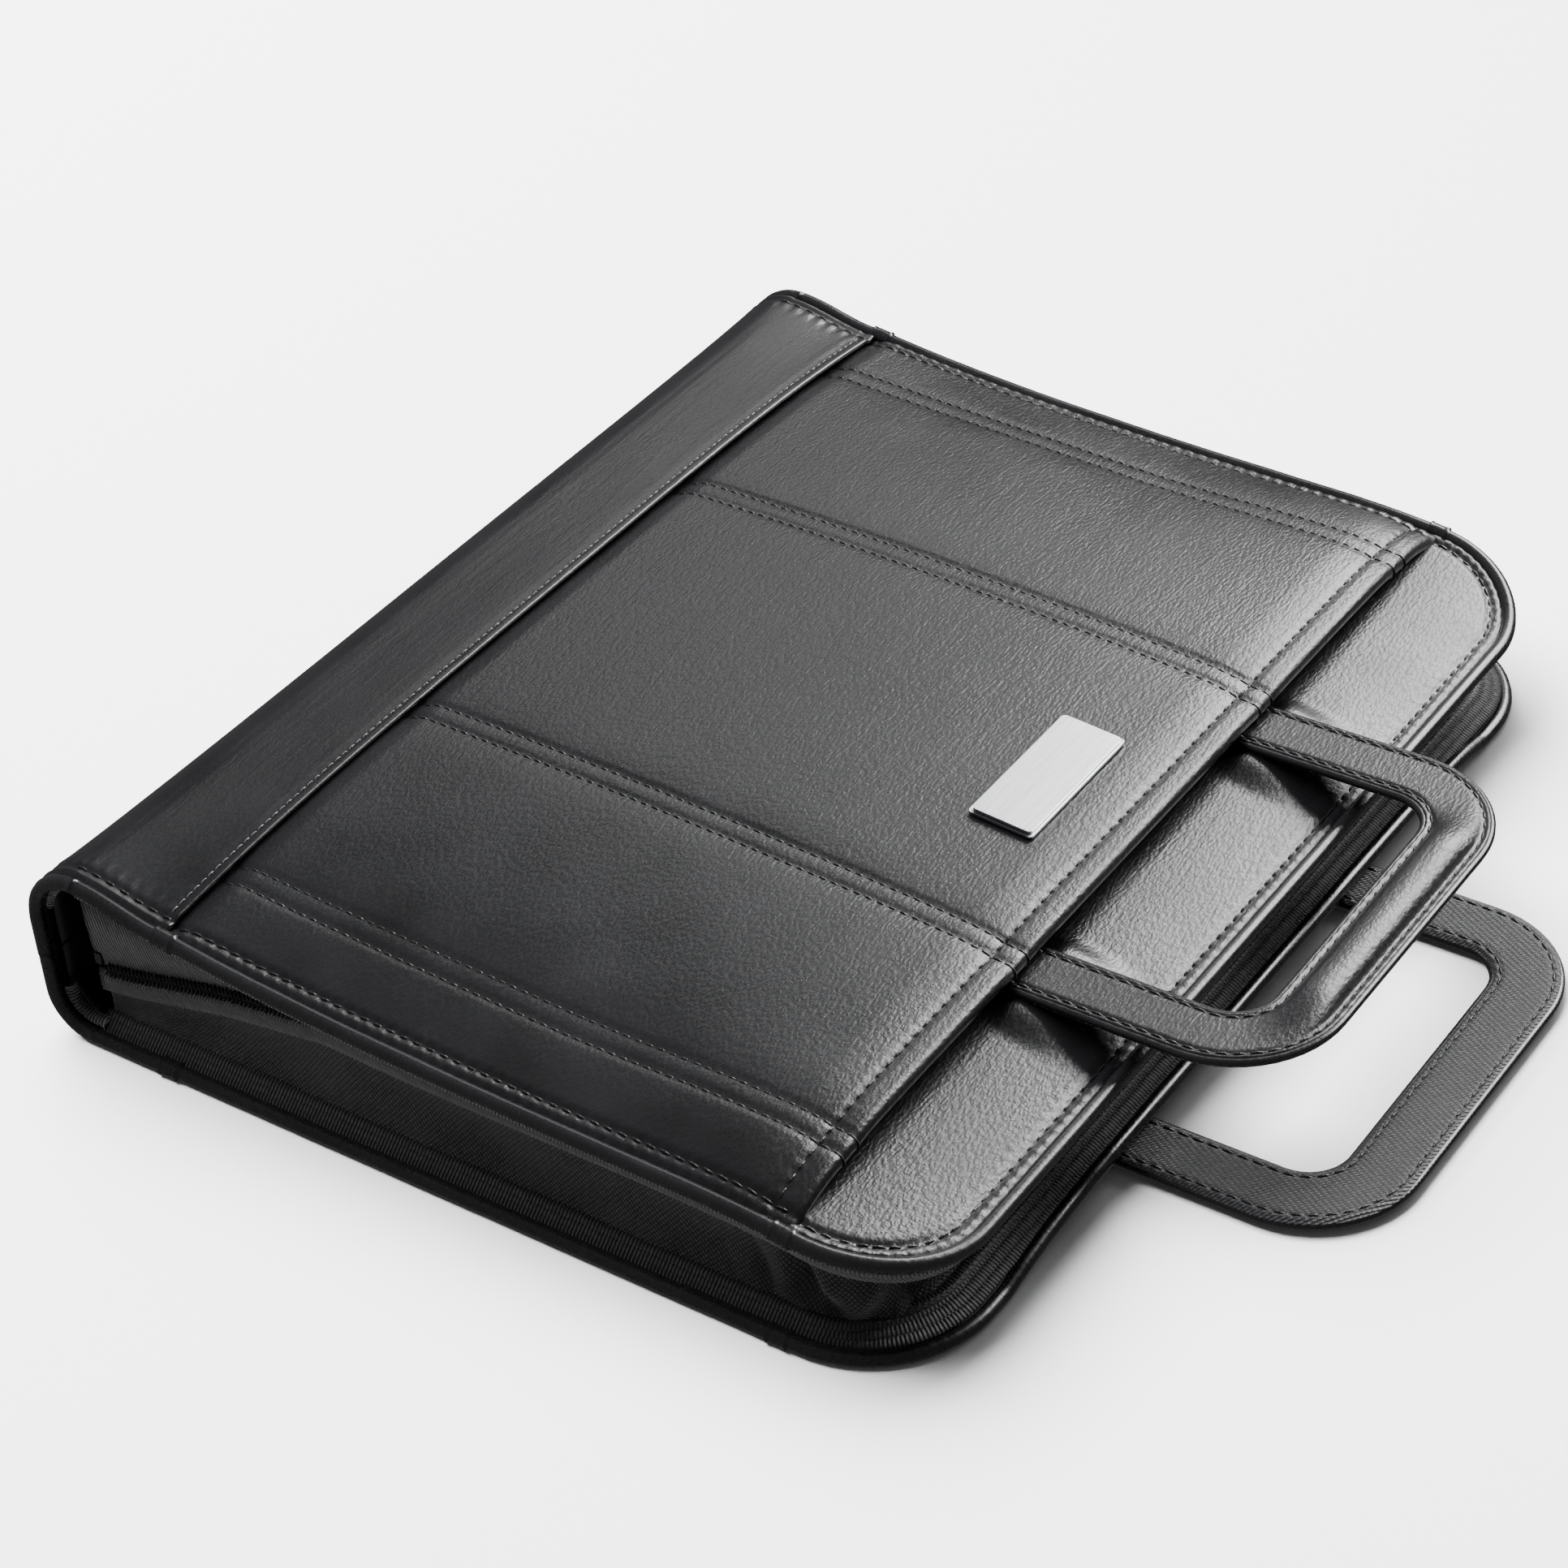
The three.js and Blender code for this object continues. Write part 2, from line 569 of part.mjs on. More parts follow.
// A handle made leather side up with its cloth face at z = 0, in its own group.
function makeHandle(name, reach) {
  const handle = new THREE.Group();
  portfolioCase.add(handle);
  const legEnd = reach - HANDLE_LENGTH;
  const trim = 2.8;
  const stopLength = 20;
  const leatherZ = HANDLE_LAYER + GAP;
  const top = leatherZ + HANDLE_LAYER + 0.5;

  add(`${name}_lining`, raise(handlePlan(reach, trim, legEnd + stopLength + GAP), 0, HANDLE_LAYER),
    LOOK.nylon, handle);
  const stopHalf = HANDLE_WIDTH / 2 - 1;
  add(`${name}_stop_strap`, block(legEnd, legEnd + stopLength, -stopHalf, stopHalf, 0, HANDLE_LAYER),
    LOOK.tape, handle);

  // The grip is a padded roll: a foam core under a leather arch that is part of the strap.
  const gripX = reach - HANDLE_STRAP / 2;
  const gripHalf = HANDLE_WIDTH / 2 - HANDLE_CORNER + 4;
  const arch = (width, height, base) => {
    const shape = new THREE.Shape();
    shape.moveTo(gripX - width / 2, base);
    shape.lineTo(gripX + width / 2, base);
    shape.quadraticCurveTo(gripX + width / 2 - 1, height, gripX, height);
    shape.quadraticCurveTo(gripX - width / 2 + 1, height, gripX - width / 2, base);
    return shape;
  };
  const strap = raise(handlePlan(reach, trim, legEnd), leatherZ, top);
  const roll = runAlongY(arch(14, top + 1.9, leatherZ), -gripHalf, gripHalf);
  const hollow = runAlongY(arch(11.6, top + 0.9, leatherZ - 1), -gripHalf + 1.4, gripHalf - 1.4);
  add(`${name}_leather`, cut(join(strap, roll), hollow), LOOK.leather, handle);
  add(`${name}_grip_padding`, runAlongY(arch(9.8, top + 0.4, leatherZ), -gripHalf + 2, gripHalf - 2),
    LOOK.foam, handle);

  const pipingRadius = 1;
  const pipingZ = 1.6;
  const set = pipingRadius + 0.1;
  const outer = handleEdge(reach - set, HANDLE_WIDTH / 2 - set, HANDLE_CORNER - set, legEnd + stopLength + 1,
    pipingZ);
  add(`${name}_piping_outer`, tube(outer, pipingRadius, 30, 5), LOOK.leather, handle);
  const inner = handleEdge(reach - HANDLE_STRAP + set, HANDLE_WIDTH / 2 - HANDLE_STRAP + set,
    HANDLE_CORNER - HANDLE_STRAP + set, legEnd + stopLength + 1, pipingZ);
  add(`${name}_piping_inner`, tube(inner, pipingRadius, 30, 5), LOOK.leather, handle);
  return handle;
}

function makeHandles() {
  makeHandle('front_handle', FRONT_HANDLE_REACH).position.z = FRONT_HANDLE_Z;
  const back = makeHandle('back_handle', BACK_HANDLE_REACH);
  const thickness = 2 * HANDLE_LAYER + GAP + 0.5;
  back.rotation.x = Math.PI;
  back.position.set(0, BACK_HANDLE_SHIFT, BACK_HANDLE_Z + thickness);
}

// ---------------------------------------------------------------- ring mechanism
const MECHANISM_Z = BACK_FLOOR_Z + LEATHER + BOARD + LINING + 3 * GAP;
const RING_Z = MECHANISM_Z + 2.6 + RING_RADIUS;
const RING_PLACES = [-1.5, -0.5, 0.5, 1.5].map((step) => step * RING_SPACING);

function makeRingMechanism() {
  const half = MECHANISM_LENGTH / 2;
  const outside = new THREE.Shape();
  outside.moveTo(-8.5, 0);
  outside.lineTo(-7.4, 3.6);
  outside.quadraticCurveTo(0, 7.6, 7.4, 3.6);
  outside.lineTo(8.5, 0);
  outside.closePath();
  const inside = new THREE.Shape();
  inside.moveTo(-7.6, -1);
  inside.lineTo(-6.6, 3.2);
  inside.quadraticCurveTo(0, 6.4, 6.6, 3.2);
  inside.lineTo(7.6, -1);
  inside.closePath();
  const notches = RING_PLACES.flatMap((y) => [-1, 1].map((side) => (
    block(side * 7 - 3.6, side * 7 + 3.6, y - 2.4, y + 2.4, -1, 6)
  )));
  const housing = cut(
    runAlongY(outside, -half, half, 4),
    runAlongY(inside, -half - 1, half + 1, 4),
    ...notches,
  );
  housing.translate(MECHANISM_X, 0, MECHANISM_Z);
  const holes = [-1, 1].map((side) => (
    block(MECHANISM_X - 2, MECHANISM_X + 2, side * 128 - 2, side * 128 + 2, MECHANISM_Z, MECHANISM_Z + 9)
  ));
  add('ring_housing', cut(housing, ...holes), LOOK.nickel);

  for (const [name, side] of [['rivet_near', -1], ['rivet_far', 1]]) {
    const profile = [[0, 0], [1.6, 0], [1.6, 6], [3, 6], [2.4, 7], [0, 7.6]];
    const rivet = new THREE.LatheGeometry(profile.map(([r, z]) => new THREE.Vector2(r, z)), 12);
    rivet.rotateX(Math.PI / 2).translate(MECHANISM_X, side * 128, MECHANISM_Z);
    add(name, rivet, LOOK.nickel);
  }

  for (const [name, side] of [['ring_halves_left', -1], ['ring_halves_right', 1]]) {
    const bladeIn = MECHANISM_X + side * 0.3;
    const bladeOut = MECHANISM_X + side * 6;
    const bladeHalf = 124;
    const blade = block(Math.min(bladeIn, bladeOut), Math.max(bladeIn, bladeOut), -bladeHalf, bladeHalf,
      MECHANISM_Z + 0.8, MECHANISM_Z + 1.7);
    const rings = RING_PLACES.map((y) => {
      const points = [new THREE.Vector3(MECHANISM_X + side * 4.4, y, MECHANISM_Z + 1)];
      for (let i = 0; i <= 8; i += 1) {
        const turn = -1.2 + (Math.PI / 2 - 0.03 + 1.2) * (i / 8);
        const x = MECHANISM_X + side * RING_RADIUS * Math.cos(turn);
        points.push(new THREE.Vector3(x, y, RING_Z + RING_RADIUS * Math.sin(turn)));
      }
      return tube(points, RING_WIRE, 8, 6);
    });
    add(name, join(blade, ...rings), LOOK.nickel);
  }

  for (const [name, side] of [['ring_lever_near', -1], ['ring_lever_far', 1]]) {
    const profile = new THREE.Shape();
    profile.moveTo(half + 0.8, 0.4);
    profile.lineTo(half + 7, 0.4);
    profile.lineTo(half + 9.6, 15);
    profile.lineTo(half + 8.2, 15.4);
    profile.lineTo(half + 5.6, 1.8);
    profile.lineTo(half + 0.8, 1.8);
    profile.closePath();
    const lever = new THREE.ExtrudeGeometry(profile, { depth: 11, bevelEnabled: false });
    lever.rotateX(Math.PI / 2).rotateZ(side * Math.PI / 2);
    lever.translate(MECHANISM_X - side * 5.5, 0, MECHANISM_Z);
    add(name, lever, LOOK.nickel);
  }
}

makeFrontCover();
makeBadge();
makeBackCover();
makeSpine();
makeGussetAndZip();
makeSlider();
makeHandles();
makeRingMechanism();

export default portfolioCase;
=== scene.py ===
# %% [markdown]
# # A zip-round portfolio case
# The case is two padded covers and a boxy spine in black leather-look polyurethane, with a nylon
# gusset and a coil zip round the three open sides, a sliding handle in a pocket on each cover, and
# rings inside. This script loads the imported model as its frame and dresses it: every soft piece
# gets a mesh of its own, and the hard pieces keep theirs and get a finish.

import math

import bpy
import numpy as np
from mathutils import Matrix, Vector


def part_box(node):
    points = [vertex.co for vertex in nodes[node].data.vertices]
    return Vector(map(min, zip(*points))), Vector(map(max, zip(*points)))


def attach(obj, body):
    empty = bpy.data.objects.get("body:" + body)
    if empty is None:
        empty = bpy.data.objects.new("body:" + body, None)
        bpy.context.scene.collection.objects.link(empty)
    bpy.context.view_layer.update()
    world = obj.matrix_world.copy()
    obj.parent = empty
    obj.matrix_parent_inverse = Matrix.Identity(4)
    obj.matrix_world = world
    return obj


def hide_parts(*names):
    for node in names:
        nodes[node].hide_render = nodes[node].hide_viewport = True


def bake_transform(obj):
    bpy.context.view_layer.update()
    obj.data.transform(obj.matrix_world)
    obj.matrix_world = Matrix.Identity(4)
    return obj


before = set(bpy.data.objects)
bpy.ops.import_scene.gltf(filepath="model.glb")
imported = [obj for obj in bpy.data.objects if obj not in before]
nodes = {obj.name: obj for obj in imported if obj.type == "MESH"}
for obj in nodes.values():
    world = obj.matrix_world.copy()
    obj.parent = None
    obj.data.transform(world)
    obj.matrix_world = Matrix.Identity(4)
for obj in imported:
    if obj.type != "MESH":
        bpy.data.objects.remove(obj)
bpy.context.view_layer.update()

# %% [markdown]
# ## Sizes
# Lengths are in millimetres here, and one helper turns them into metres when a mesh is made. The
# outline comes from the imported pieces, so the cloth lands where the frame is.

# %% Sizes read from the frame
MM = 0.001


def box_mm(node):
    low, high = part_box(node)
    return np.array(low) / MM, np.array(high) / MM


_, piping_high = box_mm("front_piping")
panel_low, panel_high = box_mm("front_pocket_panel")
hem_low, _ = box_mm("front_pocket_hem")
back_panel_low, back_panel_high = box_mm("back_pocket_panel")
spine_low, _ = box_mm("spine_leather")

HALF = piping_high[1]
OPEN_X = piping_high[0]
SPINE_X = spine_low[0]
SEAM_X = panel_low[0]
HEM_X = hem_low[0]
BACK_SEAM_X = back_panel_low[0]
BACK_HEM_X = back_panel_high[0]
COVER_TOP = panel_high[2]
PIPING = 2.2
CORNER = 36.0
SEAM_EDGE_Z = 51.0                  # piping where it leaves the spine seam
print(f"case {2 * HALF:.0f} x {OPEN_X - SPINE_X:.0f} mm, top of the cover at {COVER_TOP:.1f} mm")

# %% [markdown]
# ## The shape of the covers
# A padded cover stands highest along its middle and rolls down to its piping at the rim. The piping
# settles just past the spine seam, runs nearly level and drops again at the opening edge. Writing
# these as height functions keeps every layer of the cover parallel: leather, board, lining and
# stitches all ask the same function.

# %% Height functions


def ease(start, end, value):
    t = np.clip((value - start) / (end - start), 0, 1)
    return t * t * (3 - 2 * t)


def groove(distance, width):
    return np.exp(-((distance / width) ** 2))


def crown(y, power=4):
    return 1 - np.clip(np.abs(y) / (HALF - 4), 0, 1) ** power


CORNER_TOP = 58.8                   # top of the spine corner
CORNER_TOP_X = -124.0
FLOOR_Z = 37.8                      # front cover under its handle
EDGE_SAG = 11                       # how far the piping settles past the seam
EDGE_SAG_LENGTH = 70
EDGE_END_FALL = 12                  # how much further it drops at the opening edge
EDGE_END_START = 60
COVER_FALL = 9.5                    # the pocket's middle, from the seam to the hem
POCKET_RIM = 1.8                    # the pocket panel above the piping
BAND_FALL = 7.5                     # the band's middle, to the opening edge
LEG_Y = 60.5                        # middle of a handle's leg
ZIP_FIRST_X = -120                  # where the zip line's height is given
ZIP_FIRST_Z = 29
ZIP_SLOPE = 0.14
ZIP_UNDER_EDGE = 6                  # the zip line never rises nearer to the piping
ZIP_HANG = 3.6                      # slack at the near end
BACK_RIM_Z = 2.6                    # back cover along its rim
BACK_SWELL = 3.1                    # how much higher its middle is, over the handle


def edge_z(x):
    by_spine = 1 - ease(CORNER_TOP_X, SEAM_X, x)
    settled = 1 - np.exp(-np.clip(x - SEAM_X, 0, None) / EDGE_SAG_LENGTH)
    end = np.clip((x - EDGE_END_START) / (OPEN_X - EDGE_END_START), 0, 1) ** 3
    by_seam = SEAM_EDGE_Z + (CORNER_TOP - PIPING - SEAM_EDGE_Z) * by_spine
    return by_seam - EDGE_SAG * settled - EDGE_END_FALL * end


def rim(x, y):
    """How far a point in plan lies inside the case's outline, and how far along the outline it is."""
    x, y = np.broadcast_arrays(np.asarray(x, float), np.asarray(y, float))
    corner_x, corner_y = OPEN_X - CORNER, HALF - CORNER
    past_x, past_y = x - corner_x, np.abs(y) - corner_y
    in_corner = (past_x > 0) & (past_y > 0)
    by_opening = (past_x > 0) & (past_y <= 0)
    inside = np.where(in_corner, CORNER - np.hypot(past_x, past_y), HALF - np.abs(y))
    inside = np.where(by_opening, OPEN_X - x, inside)
    along = np.where(in_corner, CORNER * np.arctan2(past_x, np.maximum(past_y, 1e-6)), past_x)
    along = np.where(by_opening, CORNER * np.pi / 2 - past_y, along)
    return inside, along


def slow_waves(x, y, size):
    """Gentle unevenness of soft material: a few long waves that never repeat in step."""
    return size * (
        np.sin(x / 31 + y / 57) + 0.7 * np.sin(y / 43 - x / 61 + 1.3) + 0.5 * np.sin(x / 17 - y / 29 + 0.4)
    ) / 2.2


# %% [markdown]
# ## Stitched grooves
# A row of stitches pulls padded leather into a groove, deepest at each needle hole, with small
# puckers beside it. The same pitch drives the grooves and the thread, so they stay in step.

# %% Grooves for the rim, the quilting and the hem
RIM_PITCH = 4.4
QUILT_PITCH = 3.6
RIM_STITCH = 7.6                    # in from the outline
HEM_STITCH = 4.6                    # back from the folded hem
SEAM_STITCH = 3.2                   # back from the folded seam
QUILT_LINES = (148.0, 141.5, 68.0, 61.5)


def pull(along, pitch, share):
    return 1 - share + share * (0.5 + 0.5 * np.cos(2 * np.pi * along / pitch))


def rim_relief(x, y):
    inside, along = rim(x, y)
    from_row = inside - RIM_STITCH
    dent = -0.95 * groove(from_row, 1.15) * pull(along, RIM_PITCH, 0.4)
    pucker = 0.10 * np.cos(2 * np.pi * along / RIM_PITCH) * groove(from_row - 2.0, 1.5)
    shoulder = 0.20 * np.cos(2 * np.pi * along / RIM_PITCH + 2) * groove(from_row + 2.1, 1.3)
    tuck = -0.8 * ease(2.8, 3.8, -from_row)
    return dent + pucker + shoulder + tuck


def quilt_relief(x, y):
    relief = np.zeros(np.broadcast(x, y).shape)
    for line in QUILT_LINES:
        relief = relief - 0.62 * groove(np.abs(y) - line, 0.95) * pull(x, QUILT_PITCH, 0.35)
    for middle in (144.75, 64.75):
        relief = relief - 0.45 * groove(np.abs(y) - middle, 8.0)
    return relief


def pocket_middle(x):
    return COVER_TOP - COVER_FALL * np.clip((x - SEAM_X) / (HEM_X - SEAM_X), 0, None) ** 2.2


def pocket_top(x, y):
    rim_height = edge_z(x) + POCKET_RIM
    fullness = crown(y) + (crown(y, 12) - crown(y)) * ease(20, HEM_X, x)
    body = rim_height + (pocket_middle(x) - rim_height) * fullness
    puff = -1.4 * ease(HEM_X - 16, HEM_X + 2, x)
    hem_row = -0.8 * groove(x - (HEM_X - HEM_STITCH), 0.9) * pull(y, RIM_PITCH, 0.4)
    under_flap = -2.4 * (1 - ease(SEAM_X - 1.5, SEAM_X + 8, x))
    return (
        body + puff + hem_row + under_flap
        + quilt_relief(x, y) + rim_relief(x, y) + slow_waves(x, y, 0.25)
    )


BAND_START = OPEN_X - 45.4


def band_top(x, y):
    beside_legs = 1 - ease(22, 12, np.abs(np.abs(y) - LEG_Y))
    past_hem = ease(HEM_X - 3, HEM_X + 6, x)
    swell = 3.0 * past_hem * (1 - ease(HEM_X + 6, HEM_X + 28, x)) * (1 - beside_legs)
    middle = FLOOR_Z - BAND_FALL * (np.clip(x - BAND_START, 0, None) / 40) ** 1.5 + swell
    body = edge_z(x) + 1.0 + (middle - edge_z(x) - 1.0) * crown(y)
    return body + rim_relief(x, y) + slow_waves(x + 90, y, 0.15)


def floor_z(x, y):
    """Outer face of the front board, as the frame has it."""
    climb = 14.7 * (1 - ease(SEAM_X, -14, x))
    middle = FLOOR_Z + climb - BAND_FALL * (np.clip(x - BAND_START, 0, None) / 40) ** 1.5
    return edge_z(x) + (middle - edge_z(x)) * crown(y)


def zip_z(x, y=1.0):
    """Meeting line of the coils. At the near end the slack tape lets it hang a little."""
    hang = ZIP_HANG * (1 - ease(-122, -72, x)) * (np.asarray(y) < 0)
    return np.minimum(ZIP_FIRST_Z + ZIP_SLOPE * (x - ZIP_FIRST_X), edge_z(x) - ZIP_UNDER_EDGE) - hang


def back_z(x, y):
    return BACK_RIM_Z + BACK_SWELL * crown(y)


print("cover height at the middle:", round(float(pocket_top(np.array(0.0), np.array(0.0))), 1), "mm")

# %% [markdown]
# ## Mesh helpers
# Everything soft here is either a sheet (a grid of points with a thickness), a rod (a round section
# along a line) or a row of stitches. All of them are built as closed meshes, and each carries a UV
# map in real millimetres so that weave and grain come out at their true size.

# %% Grid meshes
UV = "millimetres"


def lattice(rows, cols, round_cols=False):
    """Faces of a grid of points, and the row and column of each face corner."""
    i = np.arange(rows - 1)
    j = np.arange(cols if round_cols else cols - 1)
    a, b = np.meshgrid(i, j, indexing="ij")
    corners = [(a, b), (a + 1, b), (a + 1, b + 1), (a, b + 1)]
    faces = np.stack([r * cols + c % cols for r, c in corners], -1).reshape(-1, 4)
    places = np.stack([np.stack([r, c], -1) for r, c in corners], -2).reshape(-1, 4, 2)
    return faces, places


def lengths(points, axis, closed=False):
    """Distance along one side of a grid of points, in millimetres."""
    ring = np.concatenate([points, points.take([0], axis)], axis) if closed else points
    steps = np.linalg.norm(np.diff(ring, axis=axis), axis=-1).mean(axis=1 - axis)
    return np.concatenate([[0], np.cumsum(steps)])


def facing(points):
    """Unit normals of a grid of points."""
    across = np.gradient(points, axis=0)
    along = np.gradient(points, axis=1)
    normal = np.cross(across, along)
    return normal / np.maximum(np.linalg.norm(normal, axis=-1, keepdims=True), 1e-9)


def make_piece(name, points, faces, uvs, material):
    mesh = bpy.data.meshes.new(name)
    mesh.from_pydata((np.asarray(points) * MM).tolist(), [], [tuple(f) for f in faces])
    layer = mesh.uv_layers.new(name=UV)
    layer.data.foreach_set("uv", np.asarray(uvs, np.float32).ravel())
    mesh.polygons.foreach_set("use_smooth", np.ones(len(mesh.polygons), bool))
    mesh.materials.append(material)
    mesh.update()
    piece = bpy.data.objects.new(name, mesh)
    bpy.context.scene.collection.objects.link(piece)
    return piece


def sheet_of(name, top, thickness, material, cut_flat=False):
    """A closed sheet whose outer face is the grid top, with the given thickness behind it.

    Its UVs are lengths along the grid, or with cut_flat places in plan, for a piece cut from flat
    stock, whose grain runs straight through every bend of its outline.
    """
    rows, cols = top.shape[:2]
    under = top - facing(top) * thickness
    faces, places = lattice(rows, cols)
    u, v = lengths(top, 0), lengths(top, 1)
    spot = top[..., :2] if cut_flat else np.stack(np.meshgrid(u, v, indexing="ij"), -1)
    face_uv = spot[places[..., 0], places[..., 1]]
    count = rows * cols
    index = np.arange(count).reshape(rows, cols)
    edge = np.concatenate([index[0, :-1], index[:-1, -1], index[-1, :0:-1], index[:0:-1, 0]])
    onward = np.roll(edge, -1)
    wall = np.stack([edge, edge + count, onward + count, onward], -1)
    flat = spot[edge // cols, edge % cols]
    next_flat = np.roll(flat, -1, 0)
    wall_uv = np.stack([flat, flat + thickness, next_flat + thickness, next_flat], 1)
    return make_piece(
        name,
        np.concatenate([top.reshape(-1, 3), under.reshape(-1, 3)]),
        np.concatenate([faces, faces[:, ::-1] + count, wall[:, ::-1]]),
        np.concatenate([face_uv, face_uv[:, ::-1], wall_uv[:, ::-1]]),
        material,
    )


def height_grid(xs, ys, height):
    x, y = np.meshgrid(xs, ys, indexing="ij")
    return np.stack([x, y, height(x, y)], -1)


# %% [markdown]
# A line through space needs a frame that turns with it without twisting. Carrying the last side
# direction forward and squaring it up against the new tangent does that.

# %% Rods and swept sections


def spaced(path, step):
    """The same line, with points at an even spacing."""
    path = np.asarray(path, float)
    run = np.concatenate([[0], np.cumsum(np.linalg.norm(np.diff(path, axis=0), axis=1))])
    at = np.linspace(0, run[-1], max(3, int(round(run[-1] / step)) + 1))
    return np.stack([np.interp(at, run, path[:, k]) for k in range(3)], -1)


def carried_frame(path):
    tangent = np.gradient(path, axis=0)
    tangent /= np.linalg.norm(tangent, axis=1, keepdims=True)
    up = np.array([0.0, 0.0, 1.0])
    if abs(tangent[0] @ up) > 0.9:
        up = np.array([0.0, 1.0, 0.0])
    sides = []
    for t in tangent:
        up = up - t * (up @ t)
        up /= np.linalg.norm(up)
        sides.append(up)
    up = np.array(sides)
    return tangent, up, np.cross(tangent, up)


def capped_tube(name, rings, material):
    """A closed tube through rings of points, shape (stations, sides, 3)."""
    rows, cols = rings.shape[:2]
    faces, places = lattice(rows, cols, round_cols=True)
    u, v = lengths(rings, 0), lengths(rings, 1, closed=True)
    face_uv = np.stack([u[places[..., 0]], v[places[..., 1]]], -1)
    start, end = list(range(cols)), list(range((rows - 1) * cols, rows * cols))
    turn = np.linspace(0, 2 * np.pi, cols, endpoint=False)
    cap_uv = np.stack([np.cos(turn), np.sin(turn)], -1)
    return make_piece(
        name,
        rings.reshape(-1, 3),
        [*faces[:, ::-1].tolist(), start, end[::-1]],
        np.concatenate([face_uv[:, ::-1].reshape(-1, 2), cap_uv, cap_uv[::-1]]),
        material,
    )


def rod(name, path, radius, material, sides=12):
    """A round section along a line. Its radius is one number, or one for each point."""
    _, up, side = carried_frame(path)
    turn = np.linspace(0, 2 * np.pi, sides, endpoint=False)
    spoke = np.cos(turn)[None, :, None] * up[:, None] + np.sin(turn)[None, :, None] * side[:, None]
    reach = np.broadcast_to(radius, (len(path),))[:, None, None]
    return capped_tube(name, path[:, None] + spoke * reach, material)


# %% [markdown]
# A stitch is a short length of thread that leaves one needle hole, rises over the leather and dives
# into the next. Modelling each one as a small tapered bead that sinks at both ends gives the dashed
# shadow of a sewn line, which a painted line does not.

# %% Rows of stitches


def stitch_row(path, normals, pitch, radius):
    """Points and faces of one row of stitches that follows path on a surface with those normals."""
    run = np.concatenate([[0], np.cumsum(np.linalg.norm(np.diff(path, axis=0), axis=1))])
    count = max(1, int(run[-1] / pitch))
    middle = (np.arange(count) + 0.5) * run[-1] / count
    at = np.stack([np.interp(middle, run, path[:, k]) for k in range(3)], -1)
    n = np.stack([np.interp(middle, run, normals[:, k]) for k in range(3)], -1)
    n /= np.linalg.norm(n, axis=1, keepdims=True)
    ahead = np.stack([np.interp(middle + 0.4, run, path[:, k]) for k in range(3)], -1)
    behind = np.stack([np.interp(middle - 0.4, run, path[:, k]) for k in range(3)], -1)
    t = ahead - behind
    t /= np.linalg.norm(t, axis=1, keepdims=True)
    side = np.cross(n, t)
    share = np.array([-0.5, -0.42, -0.2, 0.2, 0.42, 0.5])
    thick = radius * np.array([0.3, 0.8, 1, 1, 0.8, 0.3])
    lift = radius * (0.75 - 6.0 * share**2)
    turn = np.linspace(0, 2 * np.pi, 6, endpoint=False)
    rings = (
        at[:, None, None]
        + t[:, None, None] * (share * pitch * 0.84)[None, :, None, None]
        + n[:, None, None] * (lift[:, None] + thick[:, None] * np.sin(turn))[None, :, :, None]
        + side[:, None, None] * (thick[:, None] * np.cos(turn))[None, :, :, None]
    )
    rows, cols = len(share), len(turn)
    quads, _ = lattice(rows, cols, round_cols=True)
    one = [*quads.tolist(), list(range(cols))[::-1], list(range((rows - 1) * cols, rows * cols))]
    size = rows * cols
    faces = [[corner + k * size for corner in face] for k in range(count) for face in one]
    return rings.reshape(-1, 3), faces


def sew(name, rows_of_path, pitch, radius, material):
    """One piece made of several rows of stitches."""
    points, faces, total = [], [], 0
    for path, normals in rows_of_path:
        row_points, row_faces = stitch_row(path, normals, pitch, radius)
        faces += [[corner + total for corner in face] for face in row_faces]
        points.append(row_points)
        total += len(row_points)
    points = np.concatenate(points)
    corners = np.concatenate([np.asarray(face) for face in faces])
    return make_piece(name, points, faces, points[corners][:, :2], material)


def on_surface(height, xs, ys):
    """A line drawn on a height function, with its normals."""
    small = 0.8
    xs, ys = np.broadcast_arrays(np.asarray(xs, float), np.asarray(ys, float))
    slope_x = (height(xs + small, ys) - height(xs - small, ys)) / (2 * small)
    slope_y = (height(xs, ys + small) - height(xs, ys - small)) / (2 * small)
    normals = np.stack([-slope_x, -slope_y, np.ones_like(slope_x)], -1)
    normals /= np.linalg.norm(normals, axis=1, keepdims=True)
    return np.stack([xs, ys, height(xs, ys)], -1), normals


# %% [markdown]
# ## Following the outline
# Piping, tapes, gusset and zip all run round the three open sides. One function walks the outline at
# a given inset and returns the places and the outward directions, and a swept section does the rest.

# %% The outline of the three open sides


def outline(inset, start_x, step):
    """Points in plan and outward directions, from the near spine end to the far one."""
    side, corner = HALF - inset, CORNER - inset
    corner_x = OPEN_X - CORNER
    corner_y = HALF - CORNER
    straight = np.arange(start_x, corner_x, step)
    turn = np.linspace(-np.pi / 2, 0, max(8, int(corner * np.pi / 2 / step)))
    opening = np.linspace(-corner_y, 0, max(8, int(corner_y / step)))
    by_opening = np.full(len(opening) - 1, OPEN_X - inset)
    x = np.concatenate([straight, corner_x + corner * np.cos(turn), by_opening])
    y = np.concatenate([np.full(len(straight), -side), -corner_y + corner * np.sin(turn), opening[1:]])
    nx = np.concatenate([np.zeros(len(straight)), np.cos(turn), np.ones(len(opening) - 1)])
    ny = np.concatenate([-np.ones(len(straight)), np.sin(turn), np.zeros(len(opening) - 1)])
    place = np.stack([np.concatenate([x, x[-2::-1]]), np.concatenate([y, -y[-2::-1]])], -1)
    outward = np.stack([np.concatenate([nx, nx[-2::-1]]), np.concatenate([ny, -ny[-2::-1]])], -1)
    return place, outward


